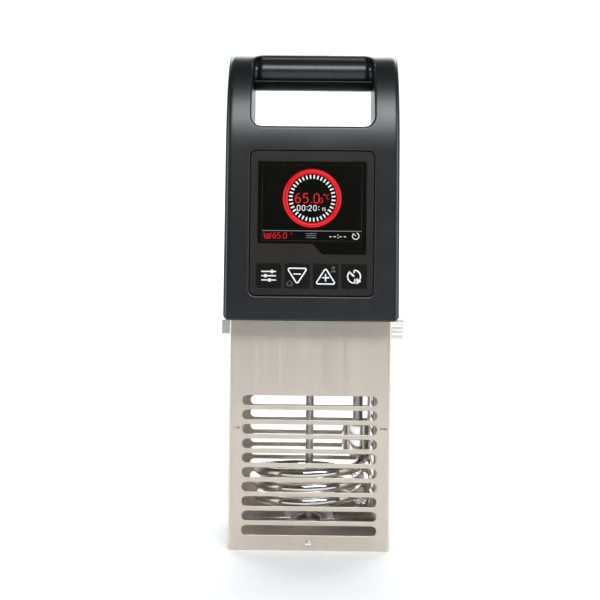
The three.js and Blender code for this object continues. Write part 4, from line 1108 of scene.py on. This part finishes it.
def slotted_screw(node, at, axis, head_radius, length):
    """A pan head screw with a straight slot, its head's seat at a spot."""
    name = node + "_slotted"
    height = head_height
    profile = [
        (0, -length), (0.0013, -length), (0.0016, -length + 0.0004), (0.0016, 0),
        (head_radius - 0.0001, 0), (head_radius, 0.0002), (head_radius, 0.5 * height),
        (0.93 * head_radius, 0.72 * height),
        (0.75 * head_radius, 0.9 * height), (0.45 * head_radius, 0.98 * height), (0, height),
    ]
    points, faces = turn_profile(profile, 40)
    shape = new_piece(name, upright(points, (0, 0, 0)), faces, fastener_steel, even=False)
    half, deep, reach = 0.00055, 0.0010, head_radius + 0.001
    levels = (height - deep, height + deep)
    corners = [(x, y, z) for x in (-reach, reach) for y in (-half, half) for z in levels]
    sides = [(0, 1, 3, 2), (4, 6, 7, 5), (0, 4, 5, 1), (2, 3, 7, 6), (0, 2, 6, 4), (1, 5, 7, 3)]
    cutter = new_piece(name + "_cutter", corners, sides, fastener_steel, even=False)
    cut = shape.modifiers.new("slot", "BOOLEAN")
    cut.operation = "DIFFERENCE"
    cut.object = cutter
    depsgraph = bpy.context.evaluated_depsgraph_get()
    result = bpy.data.meshes.new_from_object(shape.evaluated_get(depsgraph))
    bpy.data.objects.remove(cutter)
    bpy.data.objects.remove(shape)
    points = upright([v.co for v in result.vertices], at, axis)
    faces = [list(p.vertices) for p in result.polygons]
    piece = new_piece(name, points, faces, fastener_steel)
    piece.data.set_sharp_from_angle(angle=math.radians(35))
    settle(piece, "root", "screw_steel", node)


gap = 0.0003
slotted_screw("base_screw_front", (0, guard_low.y - gap, base_screw_z), "-y", 0.0024, 0.006)
slotted_screw("base_screw_rear", (0, guard_high.y + gap, base_screw_z), "y", 0.0024, 0.006)
for i in (1, 2, 3, 4):
    x, y, z = middle(f"guard_screw_{i}")
    seat = guard_high.x + gap
    at, axis = ((seat, y, z), "x") if x > 0 else ((-seat, y, z), "-x")
    slotted_screw(f"guard_screw_{i}", at, axis, 0.0032, 0.005)
for i, (x, z) in enumerate(screw_places):
    slotted_screw(f"case_screw_{i + 1}", (x, head_rear + gap, z), "y", 0.0032, 0.014)

# ------------------------------------------------------------------ heater
# One stainless tube, bent into three turns with both ends led up through the deck, where two
# bushings seal them. It is polished bright, and slightly yellowed where it runs hot.


def polished_metal(name, colour, roughness, warm=None):
    """Polished metal with faint swirls, water marks and, where it runs hot, a warm tint."""
    material, shader, make, wire = new_material(name, Metallic=1.0)
    place = make("TexCoord")
    marks = make("TexNoise", {"Scale": 90.0, "Detail": 6.0, "Distortion": 0.8})
    cloud = make("TexNoise", {"Scale": 24.0, "Detail": 3.0})
    swirl = make("TexNoise", {"Scale": 1400.0, "Detail": 3.0})
    gloss = make("MapRange", {
        "From Min": 0.35, "From Max": 0.7, "To Min": roughness, "To Max": roughness + 0.10,
    })
    tint = blend(make, warm or [0.88 * c for c in colour], colour, 0.36, 0.60)
    bump = make("Bump", {"Strength": 0.3, "Distance": 0.000003})
    wire(place, "Object", (marks, "Vector"), (cloud, "Vector"), (swirl, "Vector"))
    wire(marks, "Fac", (gloss, "Value"))
    wire(cloud, "Fac", (tint, "Fac"))
    wire(swirl, "Fac", (bump, "Height"))
    dress(wire, shader, tint, gloss, bump)
    return material


def spline_through(points, steps):
    """A smooth line through the points, without overshoot where their spacing changes."""
    points = np.array(points, float)
    points = np.vstack([2 * points[0] - points[1], points, 2 * points[-1] - points[-2]])
    line = []
    for i in range(1, len(points) - 2):
        p = points[i - 1:i + 3]
        t = np.concatenate([[0], np.cumsum(np.sqrt(np.linalg.norm(np.diff(p, axis=0), axis=1)))])
        for s in np.linspace(t[1], t[2], steps, endpoint=False):
            def between(low, high, start, end):
                span = t[end] - t[start]
                return (t[end] - s) / span * low + (s - t[start]) / span * high

            a = [between(p[k], p[k + 1], k, k + 1) for k in range(3)]
            b = [between(a[k], a[k + 1], k, k + 2) for k in range(2)]
            line.append(between(*b, 1, 2))
    line.append(points[-2])
    return np.array(line)


def swept_tube(line, radius, sides=24):
    """Places and faces of a round tube along a line, with flat ends."""
    tangent = np.gradient(line, axis=0)
    tangent /= np.linalg.norm(tangent, axis=1)[:, None]
    across = np.cross(tangent[0], (0, 1, 0))
    points, faces = [], []
    for i, (place, way) in enumerate(zip(line, tangent)):
        across = across - way * (across @ way)
        across /= np.linalg.norm(across)
        up = np.cross(way, across)
        for k in range(sides):
            a = 2 * math.pi * k / sides
            points.append(place + radius * (math.cos(a) * across + math.sin(a) * up))
        if i:
            low, high = (i - 1) * sides, i * sides
            for k in range(sides):
                after = (k + 1) % sides
                faces.append([low + k, low + after, high + after, high + k])
    last = (len(line) - 1) * sides
    faces += [list(range(sides)), list(range(last, last + sides))]
    return points, faces


coil_low, coil_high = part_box("heater_coil")
tube = 0.0037
coil_radius = -coil_low.x - tube
coil_pitch = 0.0103
coil_turns = 3
leg_x = coil_high.x - tube
leg_y = 0.0165
leg_top = coil_high.z
first = coil_low.z + tube
last = first + coil_turns * coil_pitch
line = [(leg_x, -leg_y, z) for z in (leg_top, (leg_top + first) / 2, first + 0.015)]
line.append((leg_x - 0.0006, -leg_y + 0.001, first + 0.006))
line.append((leg_x - 0.003, -leg_y + 0.005, first + 0.0009))
for i in range(coil_turns * 24 + 1):
    angle = 2 * math.pi * i / 24
    z = first + coil_pitch * i / 24
    line.append((coil_radius * math.cos(angle), coil_radius * math.sin(angle), z))
line.append((coil_radius + 0.0016, 0.5 * leg_y, last + 0.0008))
line.append((leg_x - 0.0018, 0.92 * leg_y, last + 0.006))
line += [(leg_x, leg_y, z) for z in (last + 0.018, (last + leg_top) / 2 + 0.008, leg_top)]
coil_steel = polished_metal("polished_heater", (0.94, 0.93, 0.92), 0.08, (0.90, 0.86, 0.80))
points, faces = swept_tube(spline_through(line, 4), tube)
coil = new_piece("heater_coil_tube", points, faces, coil_steel, even=False)
coil.data.set_sharp_from_angle(angle=math.radians(50))
settle(coil, "root", "polished_steel", "heater_coil")

# ------------------------------------------------------------------ level float and probe
# A polished hollow float slides on a stem between two stops, and tells whether there is enough
# water. Behind and in front of it stand the heater's legs and the thin temperature probe.

bright_steel = polished_metal("bright_steel", (0.90, 0.89, 0.88), 0.06)
turned_steel = brushed_steel(
    "turned_steel", (0.62, 0.60, 0.58), 0.32, (40.0, 40.0, 2200.0), 0.000004,
)


def turned_piece(name, node, profile, material, body, slot, round_off, at=None, axis="z"):
    """A piece turned about Z through the middle of its node, or about an axis through a spot."""
    at = at or (*middle(node)[:2], 0)
    points, faces = turn_profile(soften(profile, round_off))
    add_piece(name, upright(points, at, axis), faces, material, body, slot, node)


float_low, float_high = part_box("float")
stem_low, stem_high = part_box("float_stem")
float_r = (float_high.x - float_low.x) / 2
stem_r = 0.0038
bore = stem_r + 0.00035
waist = (float_low.z + float_high.z) / 2
shell_r = float_r - 0.0002
turned_piece("float_shell", "float", [
    (bore, float_low.z), (shell_r, float_low.z), (shell_r, waist - 0.0004), (float_r, waist - 0.0003),
    (float_r, waist + 0.0003), (shell_r, waist + 0.0004), (shell_r, float_high.z), (bore, float_high.z),
], bright_steel, "level_float", "polished_steel", 0.0016)
deck_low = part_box("deck_plate")[1].z - 0.002
collar_r = 0.006
turned_piece("float_stem_rod", "float_stem", [
    (0, stem_low.z), (stem_r, stem_low.z), (stem_r, deck_low - 0.004), (collar_r, deck_low - 0.004),
    (collar_r, deck_low - gap), (stem_r, deck_low - gap), (stem_r, stem_high.z), (0, stem_high.z),
], turned_steel, "root", "satin_steel", 0.0004)
for i in (1, 2):
    node = f"float_stop_{i}"
    low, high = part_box(node)
    ring = [(0.0041, low.z), (0.0060, low.z), (0.0060, high.z), (0.0041, high.z)]
    turned_piece(node + "_ring", node, ring, turned_steel, "root", "satin_steel", 0.0005)
probe_low, probe_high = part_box("temperature_probe")
probe_r = (probe_high.x - probe_low.x) / 2
tip = [(0, probe_low.z)]
for k in range(1, 9):
    a = math.pi / 2 * k / 8
    tip.append((probe_r * math.sin(a), probe_low.z + probe_r * (1 - math.cos(a))))
points, faces = turn_profile(tip + [(probe_r, probe_high.z), (0, probe_high.z)], 32)
points = upright(points, (*middle("temperature_probe")[:2], 0))
add_piece(
    "temperature_probe_rod", points, faces, bright_steel,
    "root", "polished_steel", "temperature_probe",
)

# ------------------------------------------------------------------ shaft and impeller
# A ground shaft hangs from the motor's coupling, and carries a six bladed impeller near the
# floor of the guard. A plain nut under the impeller holds it against the shaft.

shaft_low, shaft_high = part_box("impeller_shaft")
turned_piece("impeller_shaft_rod", "impeller_shaft", [
    (0, shaft_low.z), (0.003, shaft_low.z), (0.003, shaft_high.z), (0, shaft_high.z),
], turned_steel, "rotor", "satin_steel", 0.0005, at=(0, 0, 0))
wheel_low, wheel_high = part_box("impeller")
hub_r, wheel_r, wheel_bore = 0.005, wheel_high.x, 0.0033
floor_z, disc_r = wheel_low.z, wheel_r - 0.004
profile = [
    (wheel_bore, floor_z), (disc_r, floor_z), (disc_r, floor_z + 0.0012),
    (hub_r + 0.0006, floor_z + 0.0014),
    (hub_r, floor_z + 0.0022), (hub_r, wheel_high.z), (wheel_bore, wheel_high.z),
]
points, faces = turn_profile(soften(profile, 0.0003), 48)
points = points.tolist()
blade_half = 0.0007
low, high = wheel_low.z + 0.0004, wheel_high.z - 0.0004
blade = rectangle_loop(hub_r - 0.0008, low, wheel_r, high, 0.0005, 3)
flat, blade_faces = cut_plate(blade, [], 2 * blade_half, 0.0003)
for i in range(6):
    cos, sin = math.cos(math.pi / 3 * i), math.sin(math.pi / 3 * i)
    faces += [[k + len(points) for k in face] for face in blade_faces]
    for u, v, depth in flat:
        side = depth - blade_half
        points.append((u * cos - side * sin, u * sin + side * cos, v))
add_piece("impeller_wheel", points, faces, turned_steel, "rotor", "satin_steel", "impeller")
nut_low, nut_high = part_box("impeller_nut")
hexagon = rounded_polygon(circle_loop(0, 0, 0.005, 6), 0.0004, 3)
points, faces = cut_plate(hexagon, [circle_loop(0, 0, wheel_bore)], nut_high.z - nut_low.z, 0.0003)
points += (0, 0, nut_low.z)
add_piece("impeller_nut_hexagon", points, faces, fastener_steel, "rotor", "satin_steel", "impeller_nut")

# ------------------------------------------------------------------ deck and head floor
# A folded steel deck closes the top of the guard, and its flanges take the guard's screws. On
# it lie a rubber gasket and the head's moulded floor, with seals round all that passes through.


def cad_material(node, material):
    """A CAD piece that is shown as it is, in a material."""
    data = bpy.data.objects[node].data
    data.materials.clear()
    data.materials.append(material)


def rounded_copy(name, node, material, body, slot, width):
    """A piece with the node's shape and its edges rounded off."""
    source = bpy.data.objects[node]
    shape = bmesh.new()
    shape.from_mesh(source.data)
    bmesh.ops.remove_doubles(shape, verts=shape.verts, dist=1e-6)
    bmesh.ops.dissolve_limit(shape, angle_limit=0.03, verts=shape.verts, edges=shape.edges)
    for face in shape.faces:
        face.smooth = True
    data = bpy.data.meshes.new(name)
    shape.to_mesh(data)
    shape.free()
    data.materials.append(material)
    piece = linked(name, data)
    bevel = piece.modifiers.new("rounded_edges", "BEVEL")
    bevel.width = width
    bevel.segments = 3
    bevel.limit_method = "ANGLE"
    bevel.angle_limit = math.radians(32)
    piece.modifiers.new("even_faces", "WEIGHTED_NORMAL")
    settle(piece, body, slot, node)
    return piece


deck_steel = brushed_steel("deck_steel", (0.66, 0.64, 0.60), 0.30, (9.0, 700.0, 700.0))
rounded_copy("deck_plate_folded", "deck_plate", deck_steel, "root", "brushed_sheet", 0.0005)
floor_plastic = moulded_plastic("floor_plastic", (0.016, 0.016, 0.017), 0.45, 0.00002)
cad_material("head_base", floor_plastic)
seal_rubber = moulded_plastic("seal_rubber", (0.012, 0.012, 0.012), 0.75, 0.00003)
cad_material("head_gasket", seal_rubber)
for node in ("heater_bushing_1", "heater_bushing_2", "probe_bushing"):
    low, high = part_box(node)
    outer = (high.x - low.x) / 2
    inner = 0.0044 if outer > 0.006 else 0.00305
    turned_piece(node + "_sleeve", node, [
        (inner, low.z), (outer, low.z), (outer, deck_low - gap), (outer - 0.0008, deck_low - gap),
        (outer - 0.0008, high.z), (inner, high.z),
    ], turned_steel, "root", "satin_steel", 0.0003)
low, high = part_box("shaft_bush")
bush_r, collar_r, bush_bore = high.x - 0.004, high.x, 0.00335
turned_piece("shaft_bush_collar", "shaft_bush", [
    (bush_bore, low.z), (bush_r, low.z), (bush_r, deck_low - 0.003), (collar_r, deck_low - 0.003),
    (collar_r, deck_low - gap), (bush_r, deck_low - gap), (bush_r, high.z), (bush_bore, high.z),
], turned_steel, "root", "cast_alloy", 0.0005)

# ------------------------------------------------------------------ works inside the head
# A motor on a cast bracket drives the shaft through a rubber coupling and turns a small fan.
# Behind it a power board with its heat sink, and in front the screen's module and its board.


def circuit_lacquer():
    """Green lacquer over the glass cloth of a board, with a faint pattern of tracks."""
    material, shader, make, wire = new_material("green_lacquer", Roughness=0.32)
    place = make("TexCoord")
    tracks = make("TexBrick", {
        "Scale": 190.0, "Mortar Size": 0.03, "Color1": (0.012, 0.085, 0.035, 1),
        "Color2": (0.014, 0.100, 0.042, 1), "Mortar": (0.022, 0.150, 0.062, 1),
    })
    weave = make("TexNoise", {"Scale": 900.0, "Detail": 3.0})
    bump = make("Bump", {"Strength": 0.3, "Distance": 0.00001})
    wire(place, "Object", (tracks, "Vector"), (weave, "Vector"))
    wire(tracks, "Color", (shader, "Base Color"))
    wire(weave, "Fac", (bump, "Height"))
    wire(bump, "Normal", (shader, "Normal"))
    return material


board_green = circuit_lacquer()
cast_metal = brushed_steel("cast_metal", (0.50, 0.50, 0.51), 0.48, (420.0, 420.0, 420.0), 0.00004)
module_white = moulded_plastic("module_white", (0.62, 0.61, 0.58), 0.5, 0.00002)
fan_black = moulded_plastic("fan_black", (0.015, 0.015, 0.016), 0.42, 0.00002)
for name, node, material, slot, width in (
    ("control_board_built", "control_board", board_green, "circuit_board", 0.0002),
    ("power_board_built", "power_board", board_green, "circuit_board", 0.0002),
    ("heat_sink_fins", "heat_sink", cast_metal, "cast_alloy", 0.0003),
    ("motor_bracket_cast", "motor_bracket", cast_metal, "cast_alloy", 0.0006),
    ("display_module_case", "display_module", module_white, "module_plastic", 0.0005),
):
    rounded_copy(name, node, material, "root", slot, width)
cad_material("motor_body", cast_metal)
cad_material("motor_rotor", turned_steel)
cad_material("shaft_coupling", seal_rubber)
cad_material("cooling_fan", fan_black)

# ------------------------------------------------------------------ rear fittings
# A rocker switch in its frame and the gland for the mains lead, both moulded in black plastic
# and set in the rear shell.

fitting_black = moulded_plastic("fitting_black", (0.012, 0.012, 0.013), 0.40, 0.000015)
rounded_copy("rocker_frame_moulded", "rocker_frame", fitting_black, "root", "casing", 0.0004)
rocker_gloss = moulded_plastic("rocker_gloss", (0.010, 0.010, 0.011), 0.25, 0.000008)
rounded_copy("rocker_moulded", "rocker", rocker_gloss, "power_switch", "rocker_plastic", 0.0005)
gland_r, gland_bore = 0.008, 0.0045
inner_end, seat = -0.014, 0.0003
flange_end, thread_end = seat + 0.003, seat + 0.005
flange_r, thread_r = gland_r + 0.003, gland_r - 0.001
turned_piece("inlet_gland_body", "inlet_gland", [
    (gland_bore, inner_end), (gland_r, inner_end), (gland_r, seat), (flange_r, seat),
    (flange_r, flange_end), (thread_r, flange_end), (thread_r, thread_end), (gland_bore, thread_end),
], fitting_black, "root", "casing", 0.0006, at=(gland_x, head_rear, gland_z), axis="y")


def ridged(points, start, run, ridges, depth, width):
    """Turned places with grooves between ridges, which grow over a run outside a radius."""
    radii = np.hypot(points[:, 0], points[:, 1])
    angles = np.arctan2(points[:, 1], points[:, 0])
    share = np.clip((radii - start) / run, 0, 1)
    shrink = 1 - share * depth * np.clip(width - np.cos(ridges * angles), 0, 1)
    return points * np.column_stack([shrink, shrink, np.ones(len(shrink))])


nut_start = 0.0036
profile = soften([
    (gland_r - 0.0007, nut_start), (gland_r + 0.002, nut_start), (gland_r + 0.002, nut_start + 0.005),
    (gland_bore + 0.002, nut_start + 0.009), (gland_bore, nut_start + 0.009),
    (gland_bore, nut_start + 0.0026),
    (gland_r - 0.0007, nut_start + 0.0026),
], 0.0008)
points, faces = turn_profile(profile, 96)
points = ridged(points, gland_r + 0.0005, 0.0012, 12, 0.07, 0.5)
points = upright(points, (gland_x, head_rear, gland_z), "y")
add_piece("gland_nut_ribbed", points, faces, fitting_black, "root", "casing", "gland_nut")

# ------------------------------------------------------------------ clamp
# A bracket under the head's rear carries a cross rod with a square block on one end and a
# ridged knob on the other. The rod pinches a jaw with a rubber pad against a pot's outside.

clamp_steel = brushed_steel("clamp_plate_steel", (0.70, 0.66, 0.61), 0.32, depth=0.000004, mottle=0.03)
rounded_copy("clamp_bracket_folded", "clamp_bracket", clamp_steel, "root", "brushed_sheet", 0.0004)
rounded_copy("clamp_jaw_plate", "clamp_jaw", clamp_steel, "jaw", "brushed_sheet", 0.0004)
block_steel = brushed_steel("block_steel", (0.76, 0.74, 0.70), 0.32, (900.0, 900.0, 60.0))
rounded_copy("rod_end_block_milled", "rod_end_block", block_steel, "root", "satin_steel", 0.0007)
rod_low, rod_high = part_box("clamp_rod")
_, rod_y, rod_z = middle("clamp_rod")
rod_r = (rod_high.z - rod_low.z) / 2
turned_piece("clamp_rod_round", "clamp_rod", [
    (0, rod_low.x), (rod_r, rod_low.x), (rod_r, rod_high.x), (0, rod_high.x),
], bright_steel, "root", "polished_steel", 0.0005, at=(0, rod_y, rod_z), axis="x")
knob_low, knob_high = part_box("clamp_knob")
knob_r = (knob_high.z - knob_low.z) / 2
knob_bore = rod_r + 0.00035
profile = soften([
    (knob_bore, knob_low.x), (knob_r, knob_low.x), (knob_r, knob_high.x), (0, knob_high.x),
    (0, rod_high.x + 0.0003), (knob_bore, rod_high.x + 0.0003),
], 0.0014, 4)
points, faces = turn_profile(profile, 168)
points = ridged(points, 0.80 * knob_r, 0.16 * knob_r, 14, 0.085, 0.45)
add_piece(
    "clamp_knob_ridged", upright(points, (0, rod_y, rod_z), "x"), faces, block_steel,
    "knob", "satin_steel", "clamp_knob",
)
pad_low, pad_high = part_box("jaw_pad")
pad_loop = rectangle_loop(pad_low.x, pad_low.z, pad_high.x, pad_high.z, 0.003)
points, faces = cut_plate(pad_loop, [], pad_high.y - pad_low.y, 0.0012)
add_piece(
    "jaw_pad_rubber", facing_front(points, pad_low.y), faces, seal_rubber,
    "jaw", "black_rubber", "jaw_pad",
)
for node in ("bracket_screw_1", "bracket_screw_2"):
    x, y, _ = middle(node)
    slotted_screw(node, (x, y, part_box(node)[0].z + head_height), "-z", 0.0032, 0.008)
